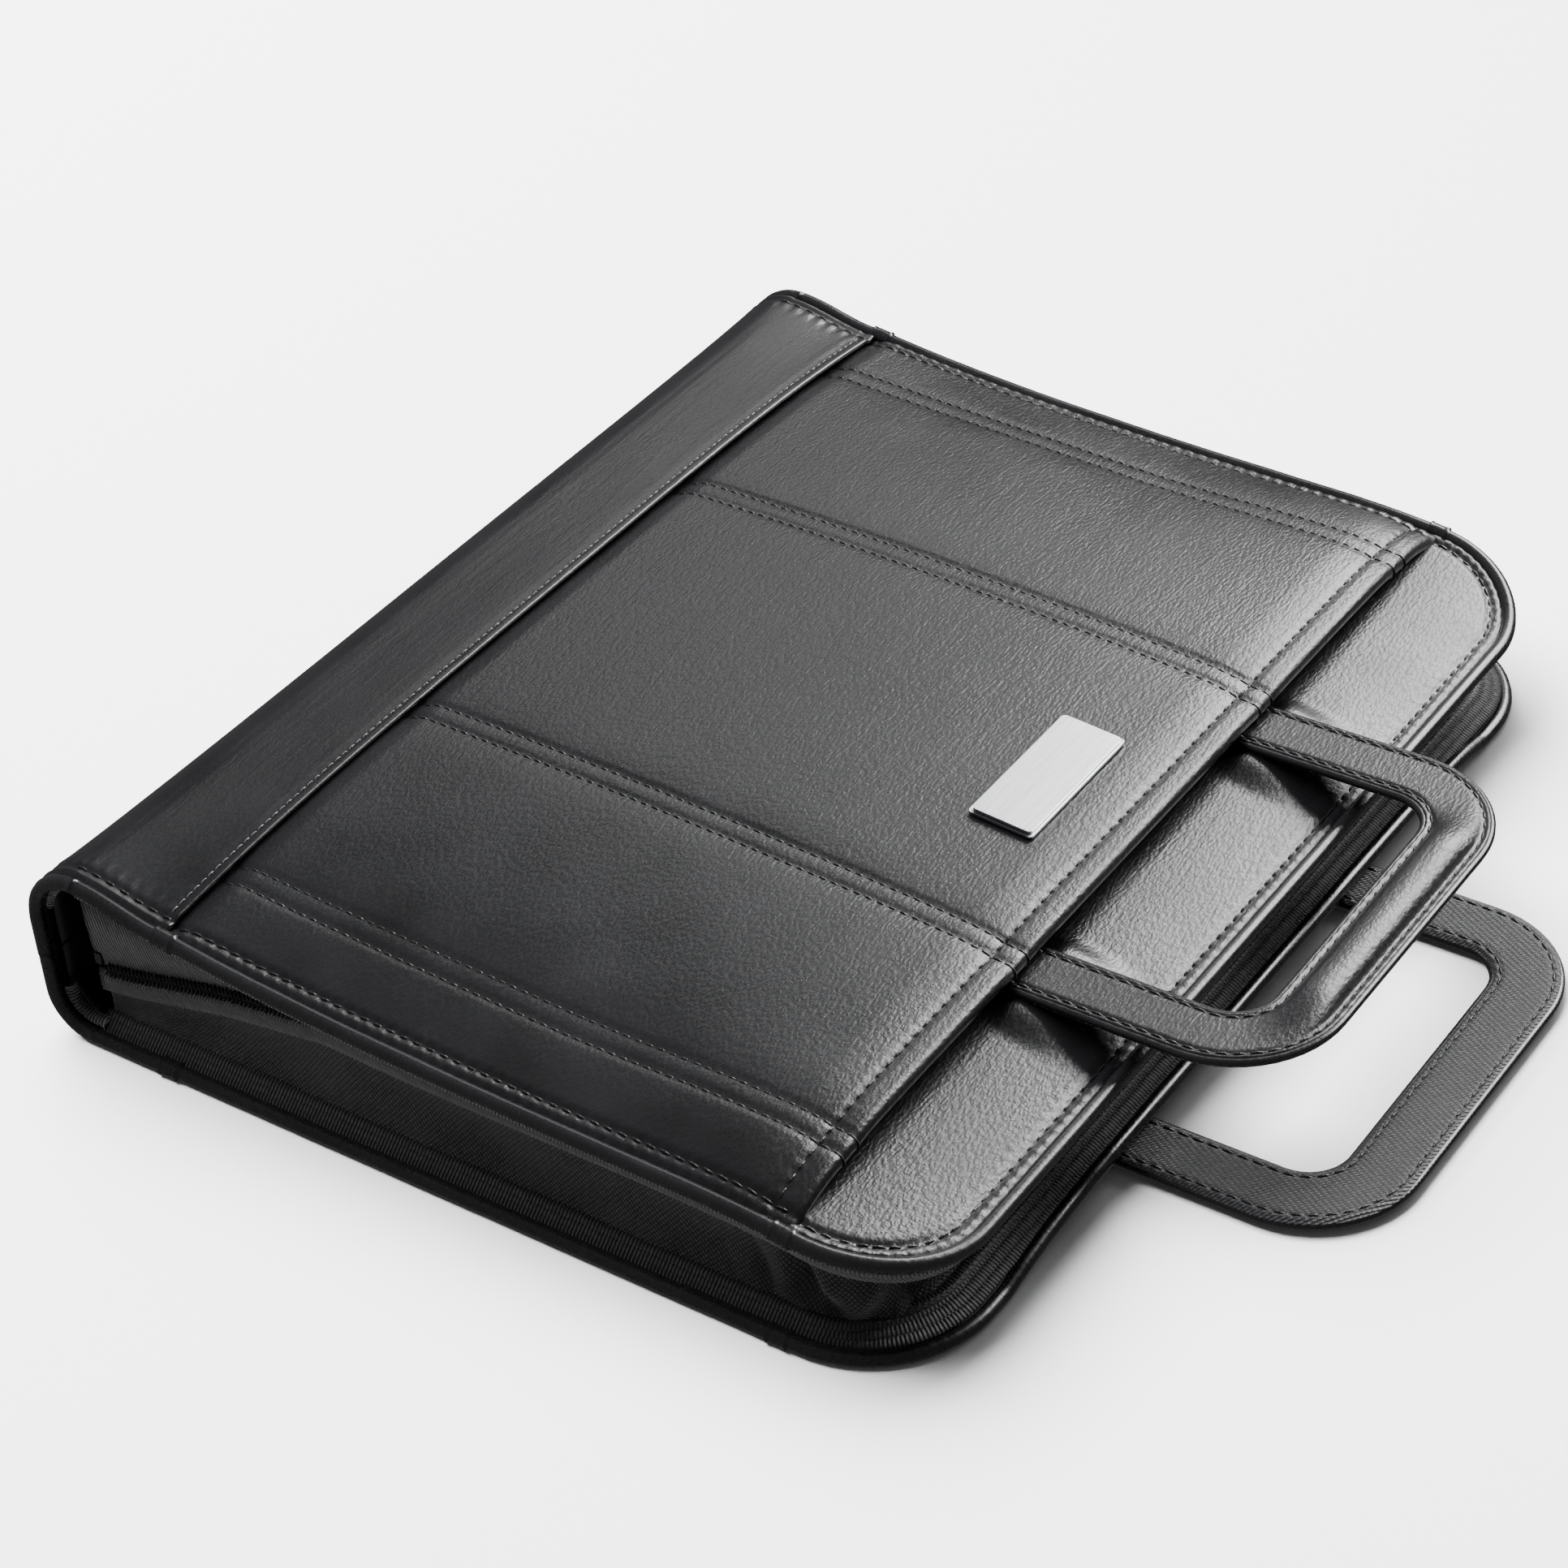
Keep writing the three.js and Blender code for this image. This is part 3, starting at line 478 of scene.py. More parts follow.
def swept_round(name, inset, start_x, step, section, material):
    """A closed section swept round the outline. section gives (out, z) at each side point for a place."""
    place, outward = outline(inset, start_x, step)
    out, z = section(place)
    rings = np.stack(
        [
            place[:, None, 0] + outward[:, None, 0] * out,
            place[:, None, 1] + outward[:, None, 1] * out,
            z,
        ],
        -1,
    )
    return capped_tube(name, rings, material)


# %% [markdown]
# ## Materials
# Every finish is procedural. Colours are sRGB hex values turned to linear by one function, and one
# small function adds a node with its settings and links.

# %% Node helpers


def linear(code):
    """A linear colour from an sRGB hex value."""
    values = [int(code[k : k + 2], 16) / 255 for k in (1, 3, 5)]
    return [v / 12.92 if v <= 0.04045 else ((v + 0.055) / 1.055) ** 2.4 for v in values] + [1.0]


def add(tree, kind, inputs=(), **settings):
    made = tree.nodes.new("ShaderNode" + kind)
    for key, value in settings.items():
        setattr(made, key, value)
    for socket, value in dict(inputs).items():
        if isinstance(value, bpy.types.NodeSocket):
            tree.links.new(value, made.inputs[socket])
        else:
            made.inputs[socket].default_value = value
    return made


def new_material(name, **values):
    """A Principled material, with plain values on the shader's own sockets."""
    material = bpy.data.materials.new(name)
    material.use_nodes = True
    shader = material.node_tree.nodes["Principled BSDF"]
    for socket, value in values.items():
        shader.inputs[socket.replace("_", " ")].default_value = value
    return material, material.node_tree, shader


def flat_mm(tree, turn=0.0, scale=(1, 1, 1)):
    """The millimetre UV map, turned and scaled."""
    uv = add(tree, "UVMap", uv_map=UV)
    return add(
        tree, "Mapping", {"Vector": uv.outputs[0], "Rotation": (0, 0, turn), "Scale": scale}
    ).outputs[0]


def solid_mm(tree):
    """Object coordinates in millimetres, for pieces with no UV map of their own."""
    place = add(tree, "TexCoord").outputs["Object"]
    return add(tree, "Mapping", {"Vector": place, "Scale": (1 / MM,) * 3}).outputs[0]


def spread(tree, value, low, high, to_low, to_high):
    """The value, rescaled from one range to another and clamped."""
    return add(
        tree, "MapRange",
        {"Value": value, "From Min": low, "From Max": high, "To Min": to_low, "To Max": to_high},
    ).outputs[0]


# %% [markdown]
# ### Leather-look polyurethane
# The cover cloth is a knitted base with a polyurethane skin that was pressed against grained paper.
# The press leaves fine pebbles that run one way, 1 mm or so across, and long faint creases. The skin
# is a dielectric with an IOR near 1.5 and a satin roughness near 0.33, nearly black below it. Pebbles
# are Voronoi cells stretched along the grain, drawn a little coarser than life so that they show.

# %% Pebbled and smooth leather-look polyurethane


def pressed_polyurethane(name, colour, pebble_mm, pebble_depth_mm, roughness, crease_depth_mm):
    material, tree, shader = new_material(name, Roughness=roughness, IOR=1.5)
    grain_turn = math.radians(-14)
    along_grain = flat_mm(tree, grain_turn, (1 / pebble_mm, 0.48 / pebble_mm, 1))
    drift = add(tree, "TexNoise", {"Vector": along_grain, "Scale": 0.6, "Detail": 2.0})
    bent = add(
        tree, "VectorMath", {0: along_grain, 1: drift.outputs["Color"]}, operation="ADD"
    ).outputs[0]
    pebbles = add(
        tree, "TexVoronoi", {"Vector": bent, "Scale": 1.0, "Smoothness": 0.6},
        feature="SMOOTH_F1", voronoi_dimensions="2D",
    )
    fine = add(tree, "TexNoise", {"Vector": flat_mm(tree), "Scale": 1.6, "Detail": 4.0})
    relief = add(
        tree, "Math", {0: pebbles.outputs["Distance"], 1: fine.outputs["Fac"]}, operation="ADD"
    ).outputs[0]
    creases = add(
        tree, "TexNoise",
        {"Vector": flat_mm(tree, math.radians(-20), (1 / 9, 1 / 70, 1)), "Scale": 1.0, "Detail": 5.0,
         "Roughness": 0.62},
    )
    ridge = spread(tree, creases.outputs["Fac"], 0.44, 0.5, 0.0, 1.0)
    hollow = spread(tree, creases.outputs["Fac"], 0.5, 0.56, 1.0, 0.0)
    crease = add(tree, "Math", {0: ridge, 1: hollow}, operation="MULTIPLY").outputs[0]
    crease_bump = add(
        tree, "Bump", {"Height": crease, "Distance": crease_depth_mm * MM, "Strength": 1.0}
    )
    bump = add(
        tree, "Bump",
        {"Height": relief, "Distance": pebble_depth_mm * MM, "Strength": 1.0,
         "Normal": crease_bump.outputs[0]},
        invert=True,
    )
    tree.links.new(bump.outputs[0], shader.inputs["Normal"])
    cloud = add(
        tree, "TexNoise", {"Vector": flat_mm(tree), "Scale": 0.03, "Detail": 3.0}
    ).outputs["Fac"]
    tone = spread(tree, cloud, 0.3, 0.7, 0.0, 1.0)
    dark, light = linear(colour), [1.5 * c for c in linear(colour)[:3]] + [1.0]
    mix = add(
        tree, "MixRGB", {"Fac": tone, "Color1": dark, "Color2": light}
    ).outputs[0]
    tree.links.new(mix, shader.inputs["Base Color"])
    worn = add(
        tree, "Math",
        {0: spread(tree, cloud, 0.3, 0.7, roughness - 0.04, roughness + 0.05),
         1: spread(tree, pebbles.outputs["Distance"], 0.1, 0.7, -0.02, 0.06)},
        operation="ADD",
    ).outputs[0]
    tree.links.new(worn, shader.inputs["Roughness"])
    return material


pebbled_leather = pressed_polyurethane("pebbled_polyurethane_leather", "#080809", 0.95, 0.085, 0.33, 0.03)
smooth_leather = pressed_polyurethane("smooth_polyurethane_leather", "#070708", 0.8, 0.025, 0.32, 0.03)
piping_leather = pressed_polyurethane("glossy_polyurethane_piping", "#0b0b0c", 1.4, 0.02, 0.26, 0.01)

# %% [markdown]
# ### Woven nylon and tapes
# Nylon cloth shows its threads: a plain weave is a chequer of small bumps, a twill is diagonal ribs,
# grosgrain has ribs straight across the tape, and zip tape is a herringbone whose ribs change side
# every few millimetres. Real ribs are about 0.5 to 0.8 mm apart. They are drawn at 1 to 1.5 mm here,
# the finest that still shows as ribs. Cloth is rough and has a little sheen from stray fibres.

# %% Woven materials


def woven(name, colour, height_of, depth_mm, roughness, hollow_shade_share=0.35):
    """A cloth whose threads are a height between 0 and 1 that height_of builds in the node tree."""
    material, tree, shader = new_material(
        name, IOR=1.5, Roughness=roughness, Sheen_Weight=0.12, Sheen_Roughness=0.4
    )
    height = height_of(tree)
    fuzz = add(tree, "TexNoise", {"Vector": flat_mm(tree), "Scale": 3.0, "Detail": 2.0})
    uneven = add(
        tree, "Math", {0: height, 1: spread(tree, fuzz.outputs["Fac"], 0.3, 0.7, -0.12, 0.12)},
        operation="ADD",
    ).outputs[0]
    bump = add(tree, "Bump", {"Height": uneven, "Distance": depth_mm * MM, "Strength": 1.0})
    tree.links.new(bump.outputs[0], shader.inputs["Normal"])
    # The colour darkens towards the hollows between threads. This is painted shade, and the fuzz noise adds
    # random tone on top.
    light = linear(colour)
    dark = [hollow_shade_share * c for c in light[:3]] + [1.0]
    mix = add(
        tree, "MixRGB", {"Fac": spread(tree, uneven, 0.1, 0.9, 0.0, 1.0), "Color1": dark, "Color2": light}
    )
    tree.links.new(mix.outputs[0], shader.inputs["Base Color"])
    return material


def ribs(tree, spacing_mm, turn=0.0, at=None):
    """Rounded ribs of that spacing, lying across the turned X direction."""
    vector = at or flat_mm(tree, turn, (1 / spacing_mm, 1 / spacing_mm, 1))
    along = add(tree, "SeparateXYZ", {0: vector}).outputs["X"]
    angle = add(tree, "Math", {0: along, 1: 2 * math.pi}, operation="MULTIPLY").outputs[0]
    wave = add(tree, "Math", {0: angle}, operation="SINE").outputs[0]
    return spread(tree, wave, -1.0, 1.0, 0.0, 1.0)


def plain_weave(tree, spacing_mm):
    """Crossing threads: the bumps of a chequer."""
    quarter = math.pi / 4
    one = ribs(tree, spacing_mm, quarter)
    other = ribs(tree, spacing_mm, -quarter)
    return add(tree, "Math", {0: one, 1: other}, operation="MULTIPLY").outputs[0]


def twill(tree):
    """Diagonal ribs of about 1 mm, broken up by the threads that cross them."""
    rib = ribs(tree, 0.95, math.radians(38))
    cross = ribs(tree, 1.5, math.radians(-62))
    broken = spread(tree, cross, 0.0, 1.0, 0.45, 1.0)
    return add(tree, "Math", {0: rib, 1: broken}, operation="MULTIPLY").outputs[0]


def herringbone(tree, spacing_mm, band_mm):
    uv = add(tree, "SeparateXYZ", {0: add(tree, "UVMap", uv_map=UV).outputs[0]})
    zigzag = add(tree, "Math", {0: uv.outputs["Y"], 1: band_mm}, operation="PINGPONG").outputs[0]
    slanted = add(tree, "Math", {0: uv.outputs["X"], 1: zigzag}, operation="ADD").outputs[0]
    place = add(tree, "CombineXYZ", {"X": slanted}).outputs[0]
    scaled = add(tree, "Mapping", {"Vector": place, "Scale": (1 / spacing_mm,) * 3}).outputs[0]
    return ribs(tree, spacing_mm, at=scaled)


oxford_nylon = woven("plain_woven_nylon", "#202022", lambda t: plain_weave(t, 1.1), 0.35, 0.5, 0.06)
twill_nylon = woven("twill_nylon", "#262628", twill, 0.25, 0.5, 0.25)
grosgrain = woven("grosgrain_tape", "#262628", lambda t: ribs(t, 1.1), 0.45, 0.45, 0.04)
zip_tape = woven("herringbone_zip_tape", "#202022", lambda t: herringbone(t, 1.1, 3.2), 0.3, 0.5, 0.15)
lining_nylon = woven("lining_nylon", "#131314", lambda t: plain_weave(t, 1.3), 0.2, 0.6, 0.3)

# %% [markdown]
# ### Thread, coil, steel and nickel
# Bonded polyester thread is two or three plies twisted together under a thin glaze. The zip coil is
# moulded nylon, black and glossy. The badge is steel rubbed in one direction, which leaves
# scratches a fraction of a millimetre wide. The ring mechanism and the zip's slider are steel with
# bright nickel plating, which looks smooth and a touch warm.

# %% Thread and coil


def twisted_thread(name, colour, roughness):
    material, tree, shader = new_material(name, Base_Color=linear(colour), Roughness=roughness, IOR=1.5)
    ply = add(
        tree, "TexWave", {"Vector": solid_mm(tree), "Scale": 0.5, "Distortion": 1.0},
        bands_direction="DIAGONAL",
    )
    bump = add(tree, "Bump", {"Height": ply.outputs["Fac"], "Distance": 0.06 * MM, "Strength": 0.8})
    tree.links.new(bump.outputs[0], shader.inputs["Normal"])
    return material


black_thread = twisted_thread("bonded_thread_black", "#0c0c0d", 0.42)
# The seam thread is black; its grey colour is a painted highlight for the glints it catches. Its low
# roughness adds real glints on top.
glint_grey_thread = twisted_thread("bonded_thread_grey_painted_glint", "#3c3c3f", 0.25)


def moulded_nylon():
    material, tree, shader = new_material("moulded_nylon_coil", Base_Color=linear("#09090a"), IOR=1.53)
    grime = add(tree, "TexNoise", {"Vector": solid_mm(tree), "Scale": 0.4, "Detail": 3.0})
    tree.links.new(spread(tree, grime.outputs["Fac"], 0.3, 0.7, 0.18, 0.34), shader.inputs["Roughness"])
    return material


coil_nylon = moulded_nylon()

# %% Metals


def brushed_steel():
    """Scratches run along the plate, 0.3 mm apart, and each one catches the light a little apart."""
    material, tree, shader = new_material("brushed_steel", Metallic=1.0, Roughness=0.34)
    scratch_place = add(tree, "Mapping", {"Vector": solid_mm(tree), "Scale": (3.2, 0.06, 0.06)}).outputs[0]
    scratches = add(
        tree, "TexNoise", {"Vector": scratch_place, "Scale": 1.0, "Detail": 6.0, "Roughness": 0.7}
    )
    bump = add(
        tree, "Bump", {"Height": scratches.outputs["Fac"], "Distance": 0.05 * MM, "Strength": 0.7}
    )
    tree.links.new(bump.outputs[0], shader.inputs["Normal"])
    tone = add(
        tree, "MixRGB",
        {"Fac": spread(tree, scratches.outputs["Fac"], 0.3, 0.7, 0.0, 1.0),
         "Color1": linear("#b4b5b8"), "Color2": linear("#dcdddf")},
    )
    tree.links.new(tone.outputs[0], shader.inputs["Base Color"])
    tree.links.new(
        spread(tree, scratches.outputs["Fac"], 0.3, 0.7, 0.26, 0.42), shader.inputs["Roughness"]
    )
    return material


def bright_nickel():
    material, tree, shader = new_material("bright_nickel_plate", Metallic=1.0)
    smear = add(tree, "TexNoise", {"Vector": solid_mm(tree), "Scale": 0.12, "Detail": 4.0})
    tone = add(
        tree, "MixRGB",
        {"Fac": smear.outputs["Fac"], "Color1": linear("#bdb9b1"), "Color2": linear("#d9d6cf")},
    )
    tree.links.new(tone.outputs[0], shader.inputs["Base Color"])
    tree.links.new(spread(tree, smear.outputs["Fac"], 0.3, 0.7, 0.12, 0.26), shader.inputs["Roughness"])
    return material


steel = brushed_steel()
nickel = bright_nickel()
print("materials:", len(bpy.data.materials))

# %% [markdown]
# ## Front pocket panel
# On the real case this is a padded, quilted panel, sewn into the spine seam and into the piping, and
# folded under along its open side to make the pocket's mouth. Cloth simulation could puff it, but
# the quilting lines are straight and even, so a fine grid with the grooves in its height gives
# cleaner sewn channels. The last stations roll over the hem in a small half circle.

# %% Quilted panel
LEATHER = 1.1
HEM_ROLL = 2.5


def even(start, end, step):
    return np.linspace(start, end, int(round((end - start) / step)) + 1)


def quilted_panel():
    half = HALF - 2 * PIPING + 0.9
    near_rim = even(-half, -half + 16, 0.7)
    ys = np.concatenate([near_rim, even(-half + 17, half - 17, 1.35), -near_rim[::-1]])
    flat = height_grid(even(SEAM_X - 6, HEM_X, 1.0), ys, pocket_top)
    last = flat[-1]
    roll = []
    for turn in np.linspace(0, math.radians(165), 9)[1:]:
        point = last.copy()
        point[:, 0] += HEM_ROLL * math.sin(turn)
        point[:, 2] -= HEM_ROLL * (1 - math.cos(turn))
        roll.append(point)
    top = np.concatenate([flat, np.array(roll)])
    return sheet_of("front_pocket_quilt", top, LEATHER, pebbled_leather, cut_flat=True)


front_quilt = quilted_panel()
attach(front_quilt, "front_cover")
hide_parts("front_pocket_panel", "front_pocket_padding", "front_pocket_hem")
print("quilted panel:", len(front_quilt.data.polygons), "faces")

# %% [markdown]
# ## Front band
# Past the hem the base panel shows: a band of leather that falls to the opening edge with two round
# corners. Its rows are spaced by angle round the corners, so the grid follows the outline.

# %% Band with round corners


def corner_rows(inset, step, straight_step):
    """Y stations that follow the rounded corners, and how far each row reaches in X."""
    radius = CORNER - inset
    corner_y = HALF - CORNER
    turn = np.linspace(-np.pi / 2, 0, int(radius * np.pi / 2 / step))
    near_y = -corner_y + radius * np.sin(turn)
    near_reach = OPEN_X - CORNER + radius * np.cos(turn)
    middle = even(-corner_y, corner_y, straight_step)[1:-1]
    ys = np.concatenate([near_y, middle, -near_y[::-1]])
    reach = np.concatenate([near_reach, np.full(len(middle), OPEN_X - inset), near_reach[::-1]])
    return ys, reach


def cover_grid(start_x, inset, height, columns, step=1.3, straight_step=1.4):
    ys, reach = corner_rows(inset, step, straight_step)
    share = np.linspace(0, 1, columns) ** 0.8
    x = start_x + (reach[None, :] - start_x) * share[:, None]
    y = np.broadcast_to(ys[None, :], x.shape)
    return np.stack([x, y, height(x, y)], -1)


band_grid = cover_grid(66, 2 * PIPING - 0.9, band_top, 74)
band = sheet_of("front_band", band_grid, LEATHER, pebbled_leather, cut_flat=True)
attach(band, "front_cover")
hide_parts("front_base_panel")

# %% [markdown]
# ## Back cover's leather
# The same two panels face the table. The case lies on the pocket panel, so its grooves go up from
# the table and nothing goes below it.

# %% Back panels


def back_quilt_height(x, y):
    rim_up = 1.1 * (1 - crown(y))
    return 0.08 - quilt_relief(x, y) * 0.35 - 0.6 * rim_relief(x, y) + rim_up


def back_band_height(x, y):
    return back_z(x, y) - 0.6 * rim_relief(x, y) - 0.05


half_panel = HALF - 2 * PIPING + 0.9


def finer_rims(rim_step, middle_step):
    """Stations across a panel, closer together within 16 mm of each rim."""
    return np.concatenate([
        even(-half_panel, -half_panel + 16, rim_step),
        even(-half_panel + 17.5, half_panel - 17.5, middle_step),
        even(half_panel - 16, half_panel, rim_step),
    ])


back_ys = finer_rims(1.1, 1.9)
back_grid = height_grid(even(BACK_SEAM_X, BACK_HEM_X, 1.7), back_ys, back_quilt_height)[::-1]
back_quilt = sheet_of("back_pocket_quilt", back_grid, LEATHER, pebbled_leather, cut_flat=True)
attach(back_quilt, "back_cover")
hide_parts("back_pocket_panel", "back_pocket_hem")

back_band_grid = cover_grid(70, 2 * PIPING - 0.9, back_band_height, 44, 1.8, 2.2)[::-1]
back_band = sheet_of("back_band", back_band_grid, LEATHER, pebbled_leather, cut_flat=True)
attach(back_band, "back_cover")
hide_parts("back_base_panel")

# %% [markdown]
# ## Spine wrap
# One strip of smoother leather wraps the spine from the seam on the front cover to the seam on the
# back cover. It has to bend at two folds when the case opens, so it is made as two pieces that meet
# halfway up the spine, one over each fold.

# %% Path of the wrap
TOP_ARC = (18.5, 20.0)              # half axes of the upper corner
TOP_CENTRE = (CORNER_TOP_X, CORNER_TOP - TOP_ARC[1])
FOOT_ARC = 14.5
FOOT_CENTRE = (SPINE_X + FOOT_ARC, FOOT_ARC)
SPLIT_Z = 27.0


def upper_path(depth, end_x, steps=26):
    """From the split up the spine, over its corner and along the front, as (x, z)."""
    rise = even(SPLIT_Z, TOP_CENTRE[1], 1.6)[:-1]
    wall = np.stack([np.full(len(rise), SPINE_X + depth), rise], -1)
    turn = np.linspace(np.pi, np.pi / 2, steps)
    arc_x = TOP_CENTRE[0] + (TOP_ARC[0] - depth) * np.cos(turn)
    arc_z = TOP_CENTRE[1] + (TOP_ARC[1] - depth) * np.sin(turn)
    arc = np.stack([arc_x, arc_z], -1)
    run = even(TOP_CENTRE[0], end_x, 1.0)[1:]
    flat = np.stack([run, np.full(len(run), CORNER_TOP - depth)], -1)
    return np.concatenate([wall, arc, flat])


def lower_path(depth, end_x):
    """From the back cover's seam along the table, round the foot and up to the split."""
    run = even(end_x, FOOT_CENTRE[0], -1.4)[:-1]
    flat = np.stack([run, np.full(len(run), depth)], -1)
    turn = np.linspace(1.5 * np.pi, np.pi, 16)
    arc_x = FOOT_CENTRE[0] + (FOOT_ARC - depth) * np.cos(turn)
    arc_z = FOOT_CENTRE[1] + (FOOT_ARC - depth) * np.sin(turn)
    arc = np.stack([arc_x, arc_z], -1)
    rise = even(FOOT_CENTRE[1], SPLIT_Z, 1.6)[1:]
    wall = np.stack([np.full(len(rise), SPINE_X + depth), rise], -1)
    return np.concatenate([flat, arc, wall])


def wrap_grid(path, ys, shape):
    x = np.broadcast_to(path[:, None, 0], (len(path), len(ys)))
    z = np.broadcast_to(path[:, None, 1], x.shape)
    y = np.broadcast_to(ys[None, :], x.shape)
    return shape(x.copy(), y.copy(), z.copy())


# %% [markdown]
# The wrap sags a little between the stiff piped ends, and its row of rim stitches puckers it. Where
# it reaches the seam its edge is folded under and lies on the quilted panel.

# %% Upper wrap
wrap_ys = finer_rims(0.9, 2.2)


def end_relief(y, along):
    """The rim's groove and puckers on the wrap, which has straight ends."""
    inside = HALF - np.abs(y)
    dent = -0.85 * groove(inside - RIM_STITCH, 1.15) * pull(along, RIM_PITCH, 0.4)
    pucker = 0.25 * np.cos(2 * np.pi * along / RIM_PITCH) * groove(inside - RIM_STITCH - 2.6, 2.6)
    return dent + pucker - 1.2 * ease(2.2, 3.6, RIM_STITCH - inside)


def upper_shape(x, y, z):
    on_flap = ease(CORNER_TOP_X - 6, SEAM_X, x)
    rim_z = edge_z(x) + 1.8
    middle_z = CORNER_TOP - 1.3 + 1.2 * on_flap
    flap_z = rim_z + (middle_z - rim_z) * crown(y)
    sag = 1.3 * (1 - (np.abs(y) / (HALF - 4)) ** 8)
    z = np.where(x > CORNER_TOP_X, flap_z, z - sag * ease(SPLIT_Z, CORNER_TOP, z))
    along = np.cumsum(np.hypot(np.gradient(x, axis=0), np.gradient(z, axis=0)), axis=0)
    relief = end_relief(y, along) + slow_waves(x * 2, y + 40, 0.22)
    relief = relief - 0.5 * groove(x - (SEAM_X - SEAM_STITCH), 0.8) * pull(y, QUILT_PITCH, 0.4)
    top = np.stack([x, y, z], -1)
    normal = facing(top)
    return top + normal * relief[..., None]


def folded_edge(grid, radius, step_down):
    """Rolls the last row of a grid over and under, as a turned leather edge."""
    last = grid[-1]
    rolled = []
    for turn in np.linspace(0, math.radians(170), 8)[1:]:
        point = last.copy()
        point[:, 0] += radius * math.sin(turn)
        point[:, 2] -= step_down * radius * (1 - math.cos(turn))
        rolled.append(point)
    return np.concatenate([grid, np.array(rolled)])


upper_grid = wrap_grid(upper_path(0, SEAM_X - 0.6), wrap_ys, upper_shape)
upper_wrap = sheet_of("spine_wrap_upper", folded_edge(upper_grid, 0.75, 1), LEATHER * 0.8, smooth_leather)
FOLD_END = -0.126                   # metres, where the bent stretch ends on either cover
UPPER_FOLD_START = 0.043            # metres, up the spine
LOWER_FOLD_END = 0.0155             # metres, up the spine
upper_start = (SPINE_X * MM, 0, UPPER_FOLD_START)
upper_end = (FOLD_END, 0, CORNER_TOP * MM)
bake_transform(upper_wrap)
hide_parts("front_flap")

# %% Lower wrap


def lower_shape(x, y, z):
    along = np.cumsum(np.hypot(np.gradient(x, axis=0), np.gradient(z, axis=0)), axis=0)
    rim_up = 1.1 * (1 - crown(y)) * (z < 3)
    top = np.stack([x, y, z + rim_up + 0.1], -1)
    relief = end_relief(y, along) + slow_waves(x + z * 2, y - 30, 0.2) * ease(4, 14, z)
    upward = np.where(z < 4, 0.75, 1.0)
    return top + facing(top) * (relief * upward)[..., None]


lower_grid = wrap_grid(lower_path(0, BACK_SEAM_X - 0.3), wrap_ys, lower_shape)
lower_wrap = sheet_of("spine_wrap_lower", lower_grid, LEATHER * 0.8, smooth_leather)
lower_start = (FOLD_END, 0, 0)
lower_end = (SPINE_X * MM, 0, LOWER_FOLD_END)
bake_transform(lower_wrap)
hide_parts("spine_leather", "back_flap", "spine_board")
print("wrap:", len(upper_wrap.data.polygons) + len(lower_wrap.data.polygons), "faces")

# %% [markdown]
# ## Piping
# Piping is a cord wrapped in a strip of leather, sewn between the layers. It runs round each cover
# and over each end of the spine. A curve with a bevel would do, but a swept mesh lets the radius
# vary, and a hand-sewn cord is never perfectly round. At each panel joint a short strip laps it.

# %% Piping round the covers


def uneven_radius(count, base, seed):
    wobble = np.random.default_rng(seed).normal(0, 1, count)
    smooth = np.convolve(wobble, np.ones(9) / 9, mode="same")
    return base * (1 + 0.05 * smooth)


def front_edge_line(start_x, step):
    place, _ = outline(PIPING, start_x, step)
    return np.stack([place[:, 0], place[:, 1], edge_z(place[:, 0])], -1)


def back_edge_line(start_x, step):
    place, _ = outline(PIPING, start_x, step)
    span = HALF - CORNER - 8
    rise = np.where(place[:, 0] > OPEN_X - 4, np.clip(1 - (np.abs(place[:, 1]) / span) ** 6, 0, 1), 0)
    return np.stack([place[:, 0], place[:, 1], PIPING + 0.2 + 5.4 * rise], -1)


PIPING_START = CORNER_TOP_X + 1
front_line = spaced(front_edge_line(PIPING_START, 1.5), 2.2)
back_line = spaced(back_edge_line(FOOT_CENTRE[0], 1.5), 2.2)
front_piping = rod("front_edge_piping", front_line, uneven_radius(len(front_line), PIPING, 1), piping_leather)
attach(front_piping, "front_cover")
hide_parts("front_piping")
back_piping = rod("back_edge_piping", back_line, uneven_radius(len(back_line), PIPING, 2), piping_leather)
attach(back_piping, "back_cover")
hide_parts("back_piping")

# %% Piping over the spine's ends
for name, side, node in (("near", -1, "spine_piping_near"), ("far", 1, "spine_piping_far")):
    y = side * (HALF - PIPING)
    over = upper_path(PIPING, PIPING_START)
    upper = rod(
        f"spine_end_piping_upper_{name}",
        spaced(np.insert(over, 1, y, axis=1), 1.8), PIPING, piping_leather,
    )
    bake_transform(upper)
    under = lower_path(PIPING + 0.2, FOOT_CENTRE[0] + 1)
    lower = rod(
        f"spine_end_piping_lower_{name}",
        spaced(np.insert(under, 1, y, axis=1), 1.8), PIPING, piping_leather,
    )
    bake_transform(lower)
    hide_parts(node)
    over = upper_path(4.9, PIPING_START)
    over = over[over[:, 1] > 42]
    # A narrow binding shows inside the piping at the top corner, and a thicker one round the foot.
    tape = rod(
        f"spine_end_tape_upper_{name}",
        spaced(np.insert(over, 1, side * (HALF - 4.6), axis=1), 1.2), 1.1, grosgrain, sides=8,
    )
    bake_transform(tape)
    under = lower_path(5.2, FOOT_CENTRE[0] + 3)
    under = under[under[:, 1] < 15]
    foot = rod(
        f"spine_end_tape_lower_{name}",
        spaced(np.insert(under, 1, side * (HALF - 5.6), axis=1), 1.2), 1.9, grosgrain, sides=10,
    )
    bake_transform(foot)

# %% Laps over the piping at the panel joints


